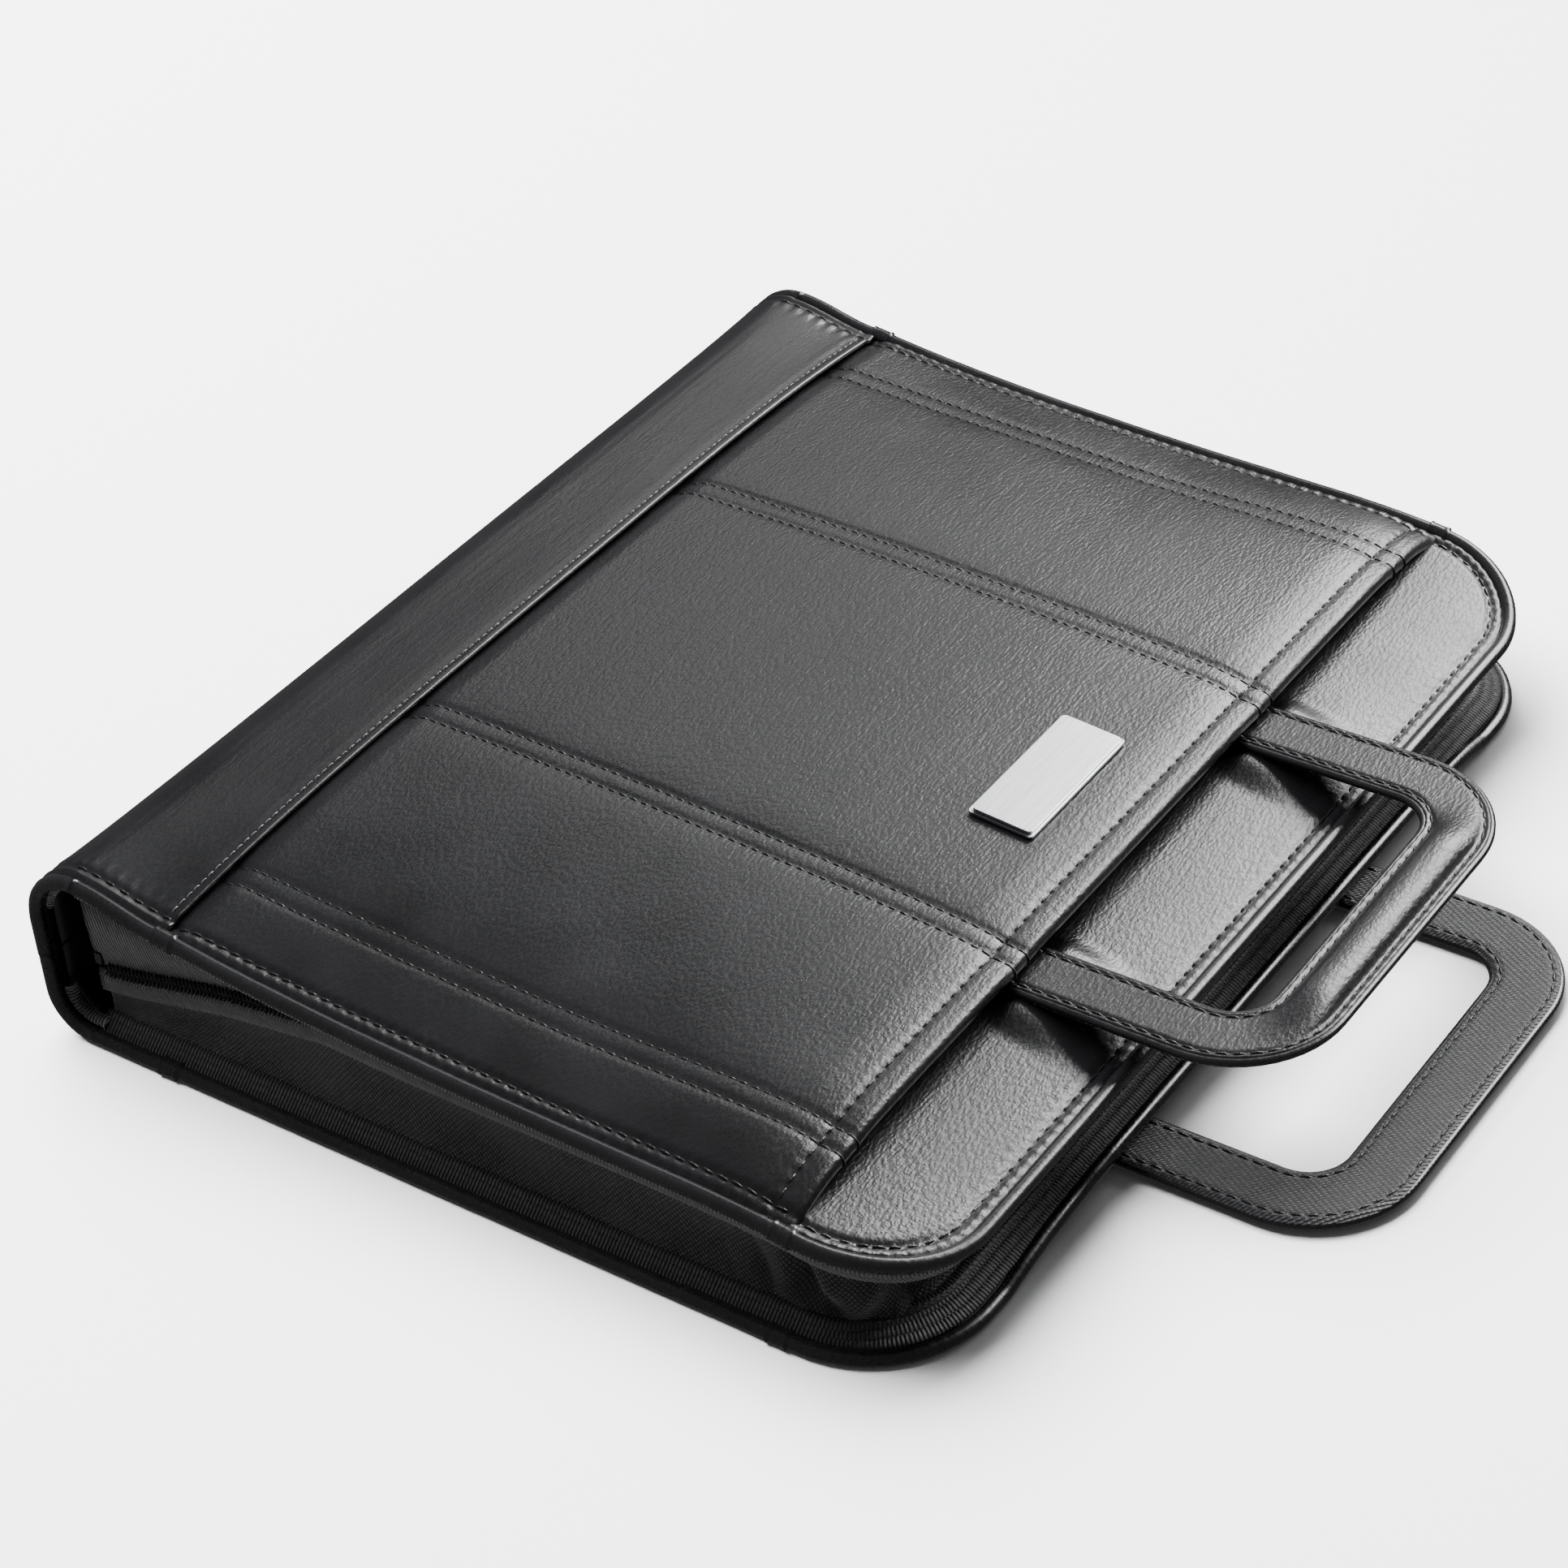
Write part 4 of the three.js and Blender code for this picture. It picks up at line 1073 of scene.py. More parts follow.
def lap(name, line, at_x, side, body):
    """A short strip round the piping, with a raised lip at each end."""
    near = line[(np.abs(line[:, 0] - at_x) < 6) & (line[:, 1] * side > 0)]
    path = spaced(near, 0.5)
    path = path[np.abs(path[:, 0] - at_x) < 3.6]
    share = np.linspace(-1, 1, len(path))
    radius = PIPING + 0.45 + 0.3 * groove(np.abs(share) - 0.84, 0.12) - 0.6 * ease(0.94, 1, np.abs(share))
    piece = rod(name, path, radius, piping_leather)
    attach(piece, body)


front_dense = front_edge_line(PIPING_START, 0.5)
back_dense = back_edge_line(FOOT_CENTRE[0], 0.5)
for place, side in (("near", -1), ("far", 1)):
    lap(f"front_seam_lap_{place}", front_dense, SEAM_X + 1, side, "front_cover")
    lap(f"front_hem_lap_{place}", front_dense, HEM_X + 1, side, "front_cover")
    lap(f"back_seam_lap_{place}", back_dense, BACK_SEAM_X, side, "back_cover")
    lap(f"back_hem_lap_{place}", back_dense, BACK_HEM_X, side, "back_cover")

# %% [markdown]
# ## Bindings
# Raw edges inside the covers are bound with grosgrain tape. The front cover shows one narrow row
# under its piping. The back cover shows three rows that overlap like steps, from the piping up to
# the foot of the gusset.

# %% Grosgrain bindings


def above_table(points_out_z):
    """A section from (out, z) corners. Along the opening side it reaches further in and rides higher."""
    pairs = np.array(points_out_z)

    def section(place):
        opening = ease(0, 30, rim(place[:, 0], place[:, 1])[1])[:, None]
        out = pairs[None, :, 0] * (1 + 0.8 * opening)
        return out, pairs[None, :, 1] + BACK_SWELL * crown(place[:, 1])[:, None] * opening

    return section


def below_front(points_out_z):
    """The same, with heights measured from the front piping."""
    pairs = np.array(points_out_z)

    def section(place):
        out = np.broadcast_to(pairs[None, :, 0], (len(place), len(pairs)))
        return out, edge_z(place[:, 0])[:, None] + pairs[None, :, 1]

    return section


BIND_INSET = 4.2
BIND_START = -125.0
BACK_BIND_START = -127.0
front_binding = swept_round(
    "front_edge_tape", BIND_INSET, BIND_START, 2.0,
    below_front([(0.5, -1.5), (0.9, -3.5), (0.9, -5.6), (0.3, -6.3), (-0.2, -6.0), (-0.4, -1.2)]), grosgrain,
)
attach(front_binding, "front_cover")
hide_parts("front_edge_binding")

back_rows = (
    ("back_edge_tape_outer", [(0.3, 2.6), (0.5, 3.9), (-0.3, 4.7), (-1.3, 5.2), (-1.9, 4.4), (-1.2, 2.8)]),
    ("back_edge_tape_middle", [(-0.9, 4.2), (-1.0, 5.2), (-1.9, 6.0), (-2.9, 6.4), (-3.4, 5.6), (-2.4, 4.4)]),
    ("back_edge_tape_inner", [(-2.4, 5.4), (-2.5, 6.4), (-3.4, 7.3), (-4.6, 7.8), (-5.2, 7.0), (-4.0, 5.6)]),
)
for name, corners in back_rows:
    row = swept_round(name, BIND_INSET, BACK_BIND_START, 2.0, above_table(corners), grosgrain)
    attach(row, "back_cover")
    if name.endswith("outer"):
        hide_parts("back_edge_binding")

# %% [markdown]
# ## Zip
# A coil zip is two nylon tapes with a coil of monofilament sewn along the facing edge of each. The
# coils are true helices here, flattened, with one turn every 1.5 mm, so the teeth catch light one by
# one. The lower tape is sewn to the gusset and the upper one to the front cover.

# %% Zip tapes


def zip_section(low_of, high_of, out_low, out_high, thickness=0.6):
    def section(place):
        low, high = low_of(*place.T), high_of(*place.T)
        middle = (low + high) / 2
        z = np.stack([low, middle, high, high, middle, low], -1)
        bow = (out_low + out_high) / 2 + 0.3
        out = np.array([out_low, bow, out_high, out_high - thickness, bow - thickness, out_low - thickness])
        return np.broadcast_to(out, z.shape), z

    return section


def tape_top(x, y):
    return np.maximum(edge_z(x) - 3.6, zip_z(x, y) + 1.6)


def slider_clearance(x, y):
    """Low edge of the upper tape. On the far side it leaves room for the travelling slider."""
    return np.minimum(zip_z(x, y) + np.where(np.asarray(y) > 150, 2.6, 0.9), tape_top(x, y) - 0.4)


def tape_foot(x, y):
    return zip_z(x, y) - 8.6 + 3.0 * ease(-60, 60, x)


ZIP_INSET = 7.4
ZIP_START = box_mm("zip_stop_far")[0][0] - 0.6     # the tapes begin just before the stops
lower_tape = swept_round(
    "lower_zip_cloth", ZIP_INSET, ZIP_START, 2.0,
    zip_section(tape_foot, lambda x, y: zip_z(x, y) - 0.9, 0.3, 0.2), zip_tape,
)
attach(lower_tape, "back_cover")
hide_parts("lower_zip_tape")
upper_tape = swept_round(
    "upper_zip_cloth", ZIP_INSET, ZIP_START, 2.0,
    zip_section(slider_clearance, tape_top, 0.2, 1.9), zip_tape,
)
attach(upper_tape, "front_cover")
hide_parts("upper_zip_tape")
print("zip tapes begin at x =", round(float(ZIP_START), 1), "mm")

# %% Zip coils
COIL_PITCH = 1.5
COIL_WIRE = 0.36
COIL_TURN_POINTS = 9


def coil(name, offset, start_x, hand):
    place, outward = outline(ZIP_INSET - 0.9, start_x, 2.0)
    line = np.stack([place[:, 0], place[:, 1], zip_z(*place.T) + offset], -1)
    run = np.concatenate([[0], np.cumsum(np.linalg.norm(np.diff(line, axis=0), axis=1))])
    at = np.arange(0, run[-1], COIL_PITCH / COIL_TURN_POINTS)
    centre = np.stack([np.interp(at, run, line[:, k]) for k in range(3)], -1)
    away = np.stack([np.interp(at, run, outward[:, 0]), np.interp(at, run, outward[:, 1]), 0 * at], -1)
    turn = 2 * np.pi * at / COIL_PITCH * hand
    helix = centre + away * (0.7 * np.cos(turn))[:, None]
    helix[:, 2] += 0.95 * np.sin(turn)
    return rod(name, helix, COIL_WIRE, coil_nylon, sides=5)


lower_coil = coil("lower_zip_coil", -1.15, -122.0, 1)
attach(lower_coil, "back_cover")
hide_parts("lower_coil")
upper_coil = coil("upper_zip_coil", 1.15, -122.0, -1)
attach(upper_coil, "front_cover")
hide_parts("upper_coil")
print("coils:", len(lower_coil.data.polygons) + len(upper_coil.data.polygons), "faces")

# %% [markdown]
# ## Gusset
# The gusset is a strip of plain woven nylon, about 20 mm deep, that lets the covers open like a
# book. With the case closed it hangs slack: nearly flat along the straight sides, and gathered into
# folds at the corners of the opening side. The folds are written as waves whose depth grows at the
# corners, which is quicker and steadier than simulating 0.8 m of cloth.

# %% Gusset with gathers
GUSSET_INSET = 8.6


def gusset_sheet():
    place, outward = outline(GUSSET_INSET, -125.5, 0.9)
    share = np.linspace(0, 1, 22)
    run = np.concatenate([[0], np.cumsum(np.linalg.norm(np.diff(place, axis=0), axis=1))])
    low = np.full(len(place), 6.0)
    high = tape_foot(*place.T) + 1.2
    z = low[:, None] + (high - low)[:, None] * share[None, :]
    inside, along = rim(place[:, 0], place[:, 1])
    corner = groove(along - 14, 26)
    opening = ease(5, 45, along)
    belly = np.sin(np.pi * share)[None, :] ** 0.8
    s, t = run[:, None], share[None, :]
    slack = 0.5 * np.sin(s / 13 + 2 * t) + 0.3 * np.sin(s / 5.3 - 3 * t)
    fold = np.abs(np.sin(s / 5.5 + 2.4 * t + 0.9 * np.sin(s / 8.5)))
    cross_fold = np.sin(3.4 * t + s / 6.5 + 1.3 * np.sin(s / 4.1))
    gather = 4.4 * (fold - 0.6) + 1.8 * cross_fold + 0.7 * np.sin(s / 1.9 - 6 * t)
    out = belly * (-0.8 + slack - 6.5 * opening[:, None] + (gather - 1.2) * corner[:, None])
    points = np.stack(
        [
            place[:, None, 0] + outward[:, None, 0] * out,
            place[:, None, 1] + outward[:, None, 1] * out,
            z + 1.6 * belly * corner[:, None] * np.sin(s / 3.3 + 2 * t),
        ],
        -1,
    )
    return sheet_of("gusset_cloth", points, 0.4, oxford_nylon), points


gusset, gusset_points = gusset_sheet()
gusset_length = lengths(gusset_points, 0)[-1] * MM
gusset_depth = lengths(gusset_points, 1)[-1] * MM
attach(gusset, "back_cover")
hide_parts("gusset")
print(f"gusset: {gusset_length:.3f} m long, {gusset_depth:.4f} m deep")

# %% [markdown]
# ## Linings
# Inside, each cover and the spine are lined with thin nylon, and the front cover has a flat pocket
# for papers. They only show in the hollow at the spine's end while the case is shut, and all over
# when it is open. Each lining stands for the board that it hides as well.

# %% Linings and the inner pocket
LINING_INSET = 9.5


def cloth_layer(
    name, height, body, start_x, columns, flip, standing_for, material=lining_nylon, inset=LINING_INSET
):
    grid = cover_grid(start_x, inset, height, columns, 3.0, 5.0)
    piece = sheet_of(name, grid[::-1] if flip else grid, 0.8, material)
    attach(piece, body)
    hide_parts(*standing_for)
    return piece


def under_board(depth, size, shift):
    """Height of a layer that far under the front board's outer face."""
    return lambda x, y: floor_z(x, y) - depth + slow_waves(x, y + shift, size)


cloth_layer(
    "front_lining_cloth", under_board(4.9, 0.15, 0), "front_cover", -124.0, 60,
    True, ["front_lining", "front_board"],
)
cloth_layer(
    "inner_pocket_cloth", under_board(6.3, 0.25, 20), "front_cover", -60.0, 45,
    True, ["inner_pocket"], twill_nylon, 10.6,
)
cloth_layer(
    "back_lining_cloth", lambda x, y: back_z(x, y) + 4.7 + slow_waves(x, y, 0.12), "back_cover", -124.0, 60,
    False, ["back_lining", "back_board"],
)

# %% Spine lining
lining_ys = even(-HALF + 6.5, HALF - 6.5, 4)
LINING_DEPTH = 4.6
LINING_END_X = -121.0


def lining_shape(x, y, z):
    return np.stack([x, y, z], -1)


for name, path_of, bodies, start, end in (
    ("spine_lining_upper", upper_path, ("spine", "front_cover"), upper_start, upper_end),
    ("spine_lining_lower", lower_path, ("back_cover", "spine"), lower_start, lower_end),
):
    grid = wrap_grid(path_of(LINING_DEPTH, LINING_END_X), lining_ys, lining_shape)
    piece = sheet_of(name, grid[::-1], 0.7, smooth_leather)
    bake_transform(piece)
    if name.endswith("lower"):
        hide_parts("spine_lining")
    size = (float(lengths(grid, 0)[-1]) * MM, float(lengths(grid, 1)[-1]) * MM)

# %% [markdown]
# ## Handles
# Each handle is a U of leather over nylon, piped along both edges, with a padded roll for the grip.
# It slides in its pocket, so it is one stiff piece. Sweeping one cross-section along the U gives a
# single continuous skin, and the section changes from a flat strap on the legs to a roll on the
# grip. The back handle is the same piece turned over.

# %% The handle's line
front_strap_low, _ = box_mm("front_handle_leather")
_, back_strap_high = box_mm("back_handle_lining")
HANDLE_HALF = 70.5
STRAP = 20.0
TURN = 22.0                         # radius of the strap's middle line at the corners
LEG = 156.0
HANDLE_BASE = front_strap_low[2] - 1.5
BACK_TOP = back_strap_high[2]


def handle_line(step):
    """Middle line of the U in plan, with its end at X = 0, the outward direction and the grip's share."""
    middle = HANDLE_HALF - STRAP / 2
    leg = even(-LEG + STRAP / 2, -TURN - STRAP / 2, step)
    turn = np.linspace(-np.pi / 2, 0, 14)
    grip = even(-middle + TURN, 0, step)
    along_grip = np.full(len(grip) - 1, -STRAP / 2)
    x = np.concatenate([leg[:-1], -TURN - STRAP / 2 + TURN * np.cos(turn), along_grip])
    y = np.concatenate([np.full(len(leg) - 1, -middle), -middle + TURN + TURN * np.sin(turn), grip[1:]])
    nx = np.concatenate([np.zeros(len(leg) - 1), np.cos(turn), np.ones(len(grip) - 1)])
    ny = np.concatenate([-np.ones(len(leg) - 1), np.sin(turn), np.zeros(len(grip) - 1)])
    place = np.stack([np.concatenate([x, x[-2::-1]]), np.concatenate([y, -y[-2::-1]])], -1)
    outward = np.stack([np.concatenate([nx, nx[-2::-1]]), np.concatenate([ny, -ny[-2::-1]])], -1)
    share = ease(middle - TURN * 0.2, middle - TURN * 1.25, np.abs(place[:, 1]))
    return place, outward, share


# %% [markdown]
# The roll rises from a valley on each side of it. Its height falls away over the corners, where the
# padding ends, and the flat flange outside the stitches puckers slightly.

# %% Cross-sections
STRAP_STITCH = 7.1
FLANGE = 9.3


def strap_height(out, along, grip, roll):
    """Leather above the strap's base plane, for a distance out from its middle line."""
    dome = np.clip(1 - (np.abs(out + 0.4) / 6.4) ** 2.2, 0, 1) ** 0.75
    edge = -1.5 * ease(8.2, FLANGE + 0.4, np.abs(out))
    row = -0.5 * groove(np.abs(out) - STRAP_STITCH, 0.75) * pull(along, RIM_PITCH, 0.35)
    valley = -0.5 * grip * groove(np.abs(out) - 6.4, 1.2)
    ripple = 0.14 * np.cos(2 * np.pi * along / RIM_PITCH) * groove(np.abs(out) - 8.3, 0.9)
    return roll * grip * dome + edge + row + valley + ripple


def handle_grid(outs, height, step=1.1):
    place, outward, grip = handle_line(step)
    run = np.concatenate([[0], np.cumsum(np.linalg.norm(np.diff(place, axis=0), axis=1))])
    points = np.stack(
        [
            place[:, None, 0] + outward[:, None, 0] * outs,
            place[:, None, 1] + outward[:, None, 1] * outs,
            height(outs[None, :], run[:, None], grip[:, None]),
        ],
        -1,
    )
    return points


def placed(points, reach, base, shift, over):
    """Handle points moved to their place. With over, it turns the handle leather side down."""
    moved = points.copy()
    moved[..., 0] += reach
    if over:
        moved[..., 1] = -moved[..., 1] + shift
        moved[..., 2] = base - moved[..., 2]
        return moved
    moved[..., 2] += base
    return moved


# %% Making a handle
LEATHER_PLANE = 3.3                 # above the nylon's face
PIPE_PLANE = 1.75
HANDLE_PIPE = 1.15


def sewn_rows(outs, height, lift_normal, step):
    rows = []
    for out in outs:
        line = handle_grid(np.array([out - 0.6, out, out + 0.6]), height, step)
        normal = facing(line)[:, 1] * lift_normal
        rows.append((line[:, 1], normal))
    return rows


def make_handle(prefix, body, reach, base, shift, over, roll):
    outs = np.concatenate([-np.linspace(0, FLANGE + 0.5, 26)[::-1], np.linspace(0, FLANGE + 0.5, 26)[1:]])

    def leather_height(out, along, grip):
        return LEATHER_PLANE + strap_height(out, along, grip, roll)

    def nylon_height(out, along, grip):
        curl = 0.9 * ease(7.6, FLANGE + 0.5, np.abs(out))
        row = 0.3 * groove(np.abs(out) - STRAP_STITCH, 0.7) * pull(along, RIM_PITCH, 0.35)
        return curl + row + 0.12 * np.sin(along / 23) + 0 * grip

    def put(points):
        return placed(points, reach, base, shift, over)

    # Outs run outward, so leather faces up when the grid is taken column-first from the outside.
    face = put(handle_grid(outs, leather_height))
    lining = put(handle_grid(outs, nylon_height))
    leather = sheet_of(f"{prefix}_strap", face, -0.9, pebbled_leather, cut_flat=True)
    nylon = sheet_of(f"{prefix}_backing", lining, 0.9, twill_nylon, cut_flat=True)
    pieces = [(leather, "leather"), (nylon, "handle_cloth")]
    place, outward, _ = handle_line(2.0)
    for edge, out in (("outer", STRAP / 2 - HANDLE_PIPE * 0.9), ("inner", -STRAP / 2 + HANDLE_PIPE * 0.9)):
        line = np.stack(
            [place[:, 0] + outward[:, 0] * out, place[:, 1] + outward[:, 1] * out,
             np.full(len(place), PIPE_PLANE)], -1,
        )
        line = spaced(line, 2.0)
        pipe = rod(f"{prefix}_edge_piping_{edge}", put(line), HANDLE_PIPE, piping_leather, sides=10)
        pieces.append((pipe, "piping"))
    threads = []
    for height, lift in ((leather_height, 1), (nylon_height, -1)):
        for path, normal in sewn_rows((-STRAP_STITCH, STRAP_STITCH), height, -lift, 0.8):
            tip = put(path + normal * 0.01)
            path = put(path)
            direction = tip - path
            threads.append((path, direction / np.linalg.norm(direction, axis=1, keepdims=True)))
    stitches = sew(f"{prefix}_stitches", threads, RIM_PITCH, 0.34, black_thread)
    pieces.append((stitches, None))
    stop = box_mm(f"{prefix}_stop_strap")
    xs, ys = even(stop[0][0], stop[1][0], 2.0), even(stop[0][1], stop[1][1], 3.0)
    level = stop[1][2]
    strap = height_grid(xs, ys, lambda x, y: level + 0.15 * np.sin(y / 9) + 0 * x)
    pieces.append((sheet_of(f"{prefix}_stop_tape", strap, 1.0, grosgrain), "tape"))
    for piece, slot in pieces:
        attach(piece, body)
    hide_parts(f"{prefix}_leather", f"{prefix}_grip_padding")
    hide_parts(f"{prefix}_lining")
    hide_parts(f"{prefix}_piping_outer")
    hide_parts(f"{prefix}_piping_inner")
    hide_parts(f"{prefix}_stop_strap")
    print(prefix, "at", round(base, 1), "mm, reach", round(reach, 1), "mm")


FRONT_REACH = box_mm("front_handle_piping_outer")[1][0] + 0.1
BACK_REACH = box_mm("back_handle_piping_outer")[1][0] + 0.1
back_pipe_low, back_pipe_high = box_mm("back_handle_piping_outer")
BACK_SHIFT = (back_pipe_low[1] + back_pipe_high[1]) / 2
make_handle("front_handle", "front_handle", FRONT_REACH, HANDLE_BASE, 0.0, False, 3.4)
make_handle("back_handle", "back_handle", BACK_REACH, BACK_TOP, BACK_SHIFT, True, 1.5)

# %% [markdown]
# ## Thread on the covers
# Black bonded thread runs round the rim of each cover, along the hem and down the quilting lines. The
# seam beside the spine is sewn with a glossier black thread in shorter stitches, coloured dark grey as a
# painted highlight for its glints.

# %% Sewing the covers


def rim_row(height, start_x, inset, end_x=None):
    place, _ = outline(inset, start_x, 1.0)
    keep = np.ones(len(place), bool) if end_x is None else place[:, 0] >= end_x
    return on_surface(height, place[keep, 0], place[keep, 1])


pocket_xs = even(SEAM_X + 1, HEM_X - 1, 1.0)
cover_rows = [rim_row(band_top, HEM_X + 3.5, RIM_STITCH)]
for side in (-1, 1):
    cover_rows.append(on_surface(pocket_top, pocket_xs, side * (HALF - RIM_STITCH)))
cover_stitches = sew("front_rim_stitches", cover_rows, RIM_PITCH, 0.36, black_thread)
quilt_rows = [on_surface(pocket_top, pocket_xs, side * line) for line in QUILT_LINES for side in (-1, 1)]
quilt_stitches = sew("front_quilt_stitches", quilt_rows, QUILT_PITCH, 0.34, black_thread)
hem_ys = even(-HALF + 9, HALF - 9, 1.0)
hem_stitches = sew(
    "front_hem_stitches", [on_surface(pocket_top, HEM_X - HEM_STITCH, hem_ys)], RIM_PITCH, 0.36, black_thread
)
for piece in (cover_stitches, quilt_stitches, hem_stitches):
    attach(piece, "front_cover")

# %% Seam beside the spine
column = int(np.argmin(np.abs(upper_grid[:, 0, 0] - (SEAM_X - SEAM_STITCH))))
inner = np.abs(wrap_ys) < HALF - 9
seam_path = upper_grid[column][inner]
seam_normals = facing(upper_grid)[column][inner]
# Seam thread coloured grey: a painted highlight for the glints of black thread.
seam_stitches = sew("front_seam_stitches", [(seam_path, seam_normals)], 3.0, 0.24, glint_grey_thread)
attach(seam_stitches, "front_cover")
end_rows = []
for index in (int(np.argmin(np.abs(wrap_ys - side * (HALF - RIM_STITCH)))) for side in (-1, 1)):
    keep = upper_grid[:, index, 0] > -128
    end_rows.append((upper_grid[keep, index], facing(upper_grid)[keep, index]))
flap_stitches = sew("flap_end_stitches", end_rows, RIM_PITCH, 0.34, black_thread)
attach(flap_stitches, "front_cover")

# %% [markdown]
# ## Threads over the hem
# The quilting threads don't stop at the hem: each one runs on over its rolled edge.

# %% Loops over the hem
loops = []
for line in QUILT_LINES:
    for side in (-1, 1):
        turn = np.linspace(-0.9, math.radians(120), 10)
        top = float(pocket_top(np.array(HEM_X), np.array(side * line)))
        x = HEM_X + (HEM_ROLL + 0.12) * np.sin(turn)
        z = top - HEM_ROLL + (HEM_ROLL + 0.12) * np.cos(turn)
        loops.append(np.stack([x, np.full(len(turn), side * line), z], -1))
for number, path in enumerate(loops):
    loop = rod(f"hem_thread_{number + 1}", path, 0.3, black_thread, sides=6)
    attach(loop, "front_cover")

# %% [markdown]
# ## Badge, slider and rings
# The hard pieces are already the right shape in the frame. A small bevel with a few segments rounds
# their edges, which is what lets metal catch the light, and the finish does the rest. The ring wires
# are redrawn as smooth rods, because the frame's are coarse.

# %% Metal from the frame
METAL_NODES = {
    steel: ("badge_plate", "badge_backing"),
    nickel: ("ring_housing", "rivet_near", "rivet_far", "ring_lever_near", "ring_lever_far", "zip_slider",
             "zip_puller"),
    coil_nylon: ("zip_stop_near", "zip_stop_far"),
}
BEVEL_MM = 0.22
for material, names in METAL_NODES.items():
    for name in names:
        node = nodes[name]
        node.data.materials.clear()
        node.data.materials.append(material)
        bevel = node.modifiers.new("rounded_edges", "BEVEL")
        bevel.width = BEVEL_MM * MM
        bevel.segments = 2
        bevel.limit_method = "ANGLE"
        bevel.angle_limit = math.radians(40)

# %% Ring wires
RING_SPACING = 80.0
RING_RADIUS = 12.5
RING_WIRE = 1.4
ring_low, ring_high = box_mm("ring_halves_left")
ring_right_high = box_mm("ring_halves_right")[1]
RING_X = (ring_low[0] + ring_right_high[0]) / 2
RING_Z = ring_high[2] - RING_WIRE - RING_RADIUS


def joined(name, pieces):
    """Several meshes as one piece."""
    points = [np.array([v.co for v in p.data.vertices]) / MM for p in pieces]
    faces, start = [], 0
    for piece, own in zip(pieces, points):
        faces += [[v + start for v in polygon.vertices] for polygon in piece.data.polygons]
        start += len(own)
    points = np.concatenate(points)
    corners = np.concatenate([np.asarray(face) for face in faces])
    whole = make_piece(name, points, faces, points[corners][:, :2], pieces[0].data.materials[0])
    for piece in pieces:
        bpy.data.objects.remove(piece)
    return whole


for name, side, body in (("left", -1, "ring_left"), ("right", 1, "ring_right")):
    parts = []
    for place in (-1.5, -0.5, 0.5, 1.5):
        turn = np.linspace(-1.25, math.pi / 2 - 0.02, 26)
        path = np.stack(
            [RING_X + side * RING_RADIUS * np.cos(turn), np.full(26, place * RING_SPACING),
             RING_Z + RING_RADIUS * np.sin(turn)], -1,
        )
        root = [[RING_X + side * 4.4, place * RING_SPACING, RING_Z - RING_RADIUS - 1.6]]
        parts.append(rod("wire", spaced(np.concatenate([root, path]), 1.2), RING_WIRE, nickel, sides=14))
    blade_ys = even(-124, 124, 4)
    blade_xs = np.sort(RING_X + side * np.array([0.3, 2.0, 4.0, 6.0]))
    blade = height_grid(blade_xs, blade_ys, lambda x, y: np.full(x.shape, RING_Z - RING_RADIUS - 0.9))
    parts.append(sheet_of("blade", blade, 0.9, nickel))
    wires = joined(f"ring_wires_{name}", parts)
    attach(wires, body)
    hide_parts(f"ring_halves_{name}")

# %% [markdown]
# ## Floor, light and camera
# The case lies on a pale floor. Its look comes from one large softbox behind it and to the right:
# leather that tilts towards the opening edge mirrors it and turns nearly white, while the level
# panel mirrors the dim room beside it. A fill from above lights the floor and the cloth but is
# hidden from reflections, so it doesn't flatten the leather.

# %% Floor and world
floor_size = 12.0
floor_mesh = bpy.data.meshes.new("studio_floor")
corner = floor_size / 2
floor_corners = [(-corner, -corner, 0), (corner, -corner, 0), (corner, corner, 0), (-corner, corner, 0)]
floor_mesh.from_pydata(floor_corners, [], [(0, 1, 2, 3)])
floor = bpy.data.objects.new("studio_floor", floor_mesh)
bpy.context.scene.collection.objects.link(floor)
floor_paint, floor_tree, floor_shader = new_material("matt_floor_paint", Roughness=0.6)
speckle = add(floor_tree, "TexNoise", {"Scale": 1.5, "Detail": 2.0})
floor_tone = add(
    floor_tree, "MixRGB",
    {"Fac": speckle.outputs["Fac"], "Color1": linear("#f4f4f4"), "Color2": linear("#f8f8f8")},
)
floor_tree.links.new(floor_tone.outputs[0], floor_shader.inputs["Base Color"])
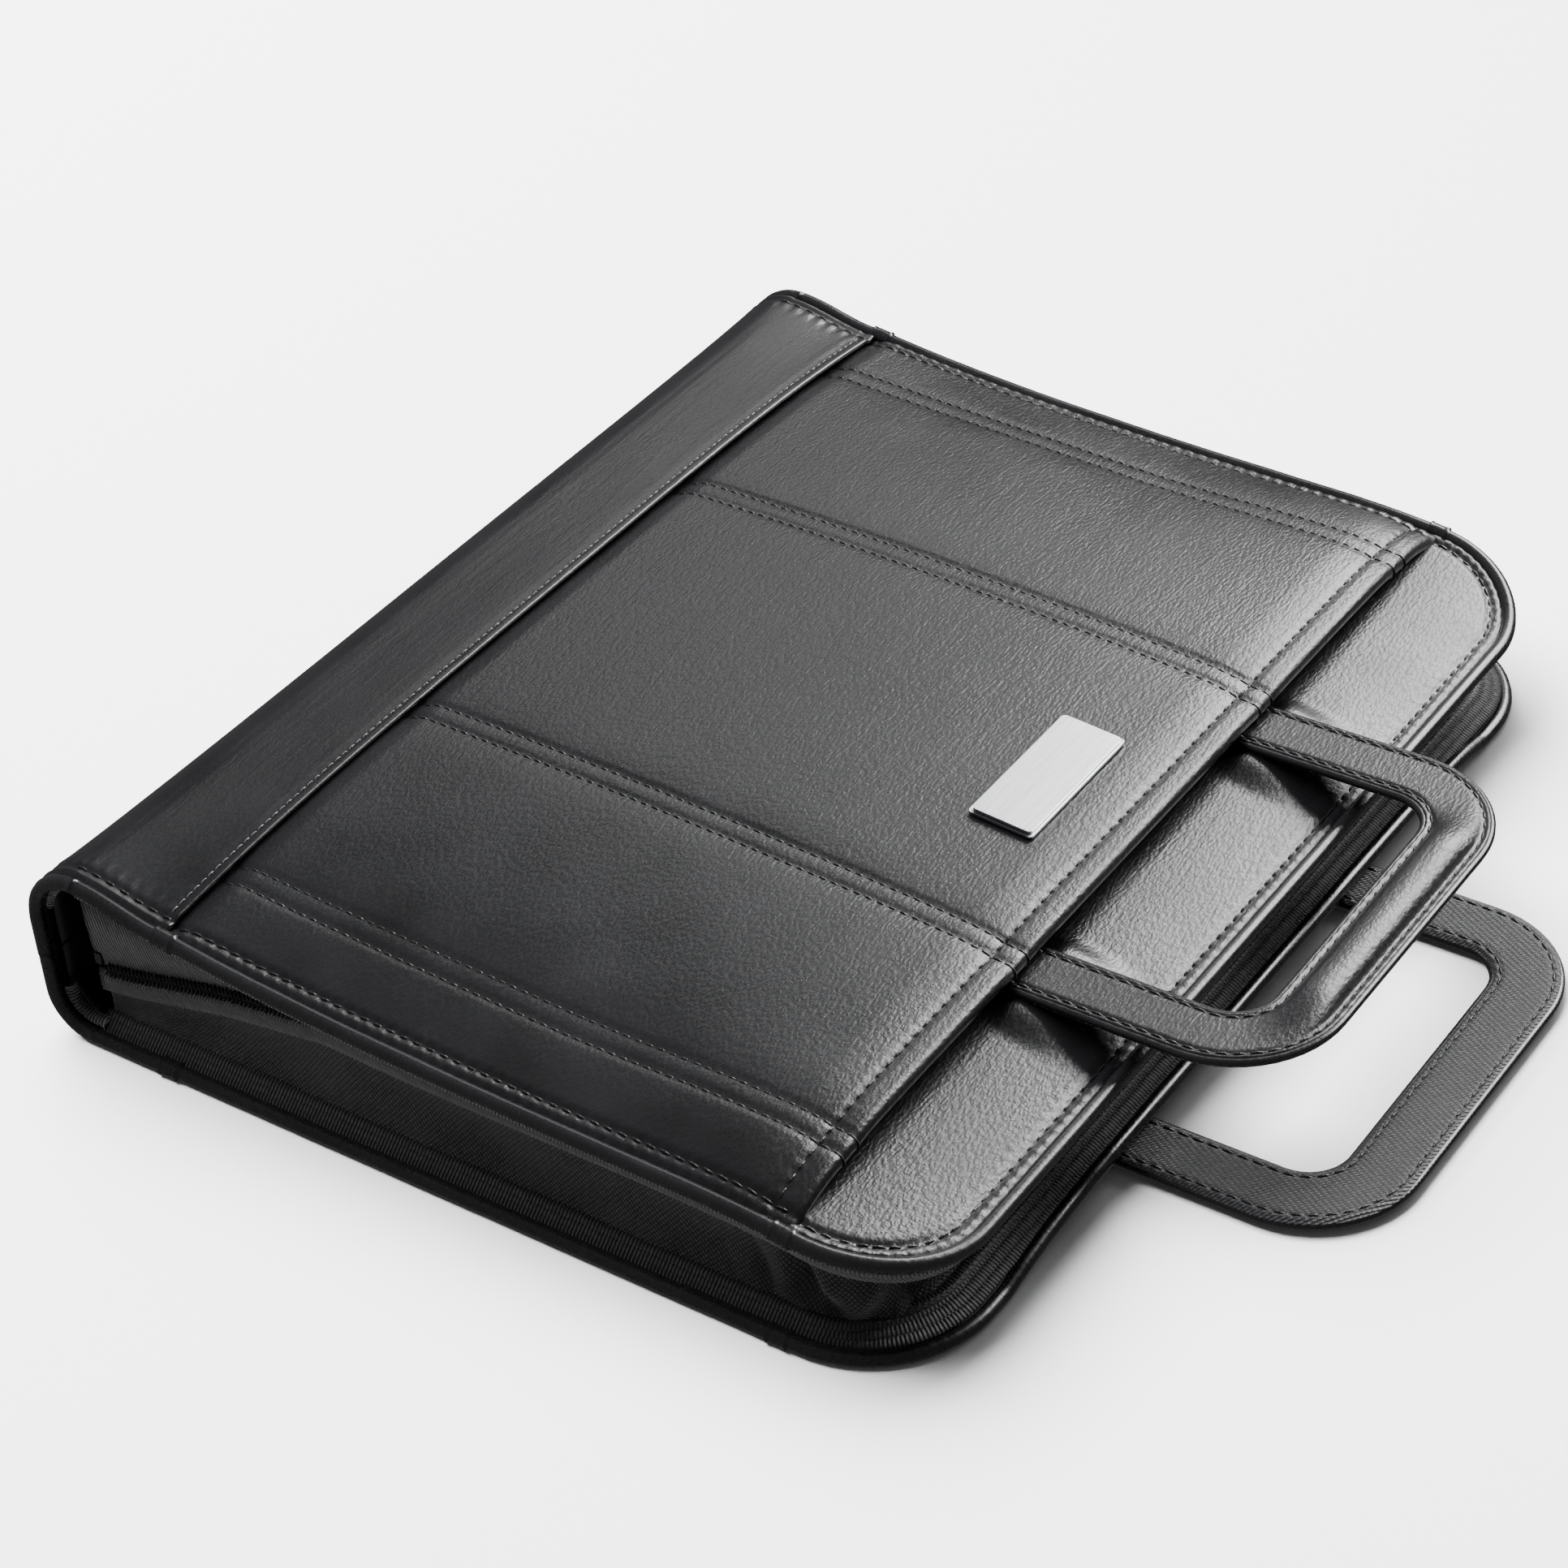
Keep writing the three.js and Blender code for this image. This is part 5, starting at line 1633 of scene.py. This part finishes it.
floor_mesh.materials.append(floor_paint)
floor.visible_glossy = False        # the case doesn't mirror the table, as with black flags around it

world = bpy.data.worlds.new("studio")
world.use_nodes = True
bpy.context.scene.world = world
background = world.node_tree.nodes["Background"]
background.inputs["Color"].default_value = linear("#ffffff")
background.inputs["Strength"].default_value = 0.14

# %% Lights


def softbox(name, place, aim, size, power, hidden_in_gloss=False):
    data = bpy.data.lights.new(name, "AREA")
    data.shape = "RECTANGLE"
    data.size, data.size_y = size
    data.energy = power
    light = bpy.data.objects.new(name, data)
    light.location = place
    light.rotation_euler = (Vector(aim) - Vector(place)).to_track_quat("-Z", "Y").to_euler()
    light.visible_glossy = not hidden_in_gloss
    bpy.context.scene.collection.objects.link(light)
    return light


key = softbox("key_softbox", (0.45, 1.35, 1.10), (0.06, 0.0, 0.03), (1.5, 0.8), 105)
key.visible_diffuse = False
side = softbox("side_softbox", (-0.9, 1.35, 1.2), (0.0, 0.0, 0.05), (0.8, 0.6), 4)
side.visible_diffuse = False
softbox("overhead_fill", (-1.1, 0.25, 1.9), (0, 0, 0), (2.2, 2.2), 420, hidden_in_gloss=True)

# %% Camera
LENS = 91.8
target = Vector((-0.0277, 0.0169, 0.0))
azimuth, elevation, roll = math.radians(37.17), math.radians(37.11), math.radians(-4.81)
distance = 1.1725
back = Vector(
    (math.sin(azimuth) * math.cos(elevation), -math.cos(azimuth) * math.cos(elevation), math.sin(elevation))
)
right = (-back).cross(Vector((0, 0, 1))).normalized()
up = right.cross(-back)
tilted_right = right * math.cos(roll) + up * math.sin(roll)
tilted_up = up * math.cos(roll) - right * math.sin(roll)
camera_data = bpy.data.cameras.new("camera")
camera_data.lens = LENS
camera_data.sensor_width = 36.0
camera_data.clip_start = 0.05
camera = bpy.data.objects.new("camera", camera_data)
camera.matrix_world = Matrix(
    [
        [tilted_right[k], tilted_up[k], back[k], (target + back * distance)[k]] for k in range(3)
    ] + [[0, 0, 0, 1]]
)
bpy.context.scene.collection.objects.link(camera)
bpy.context.scene.camera = camera
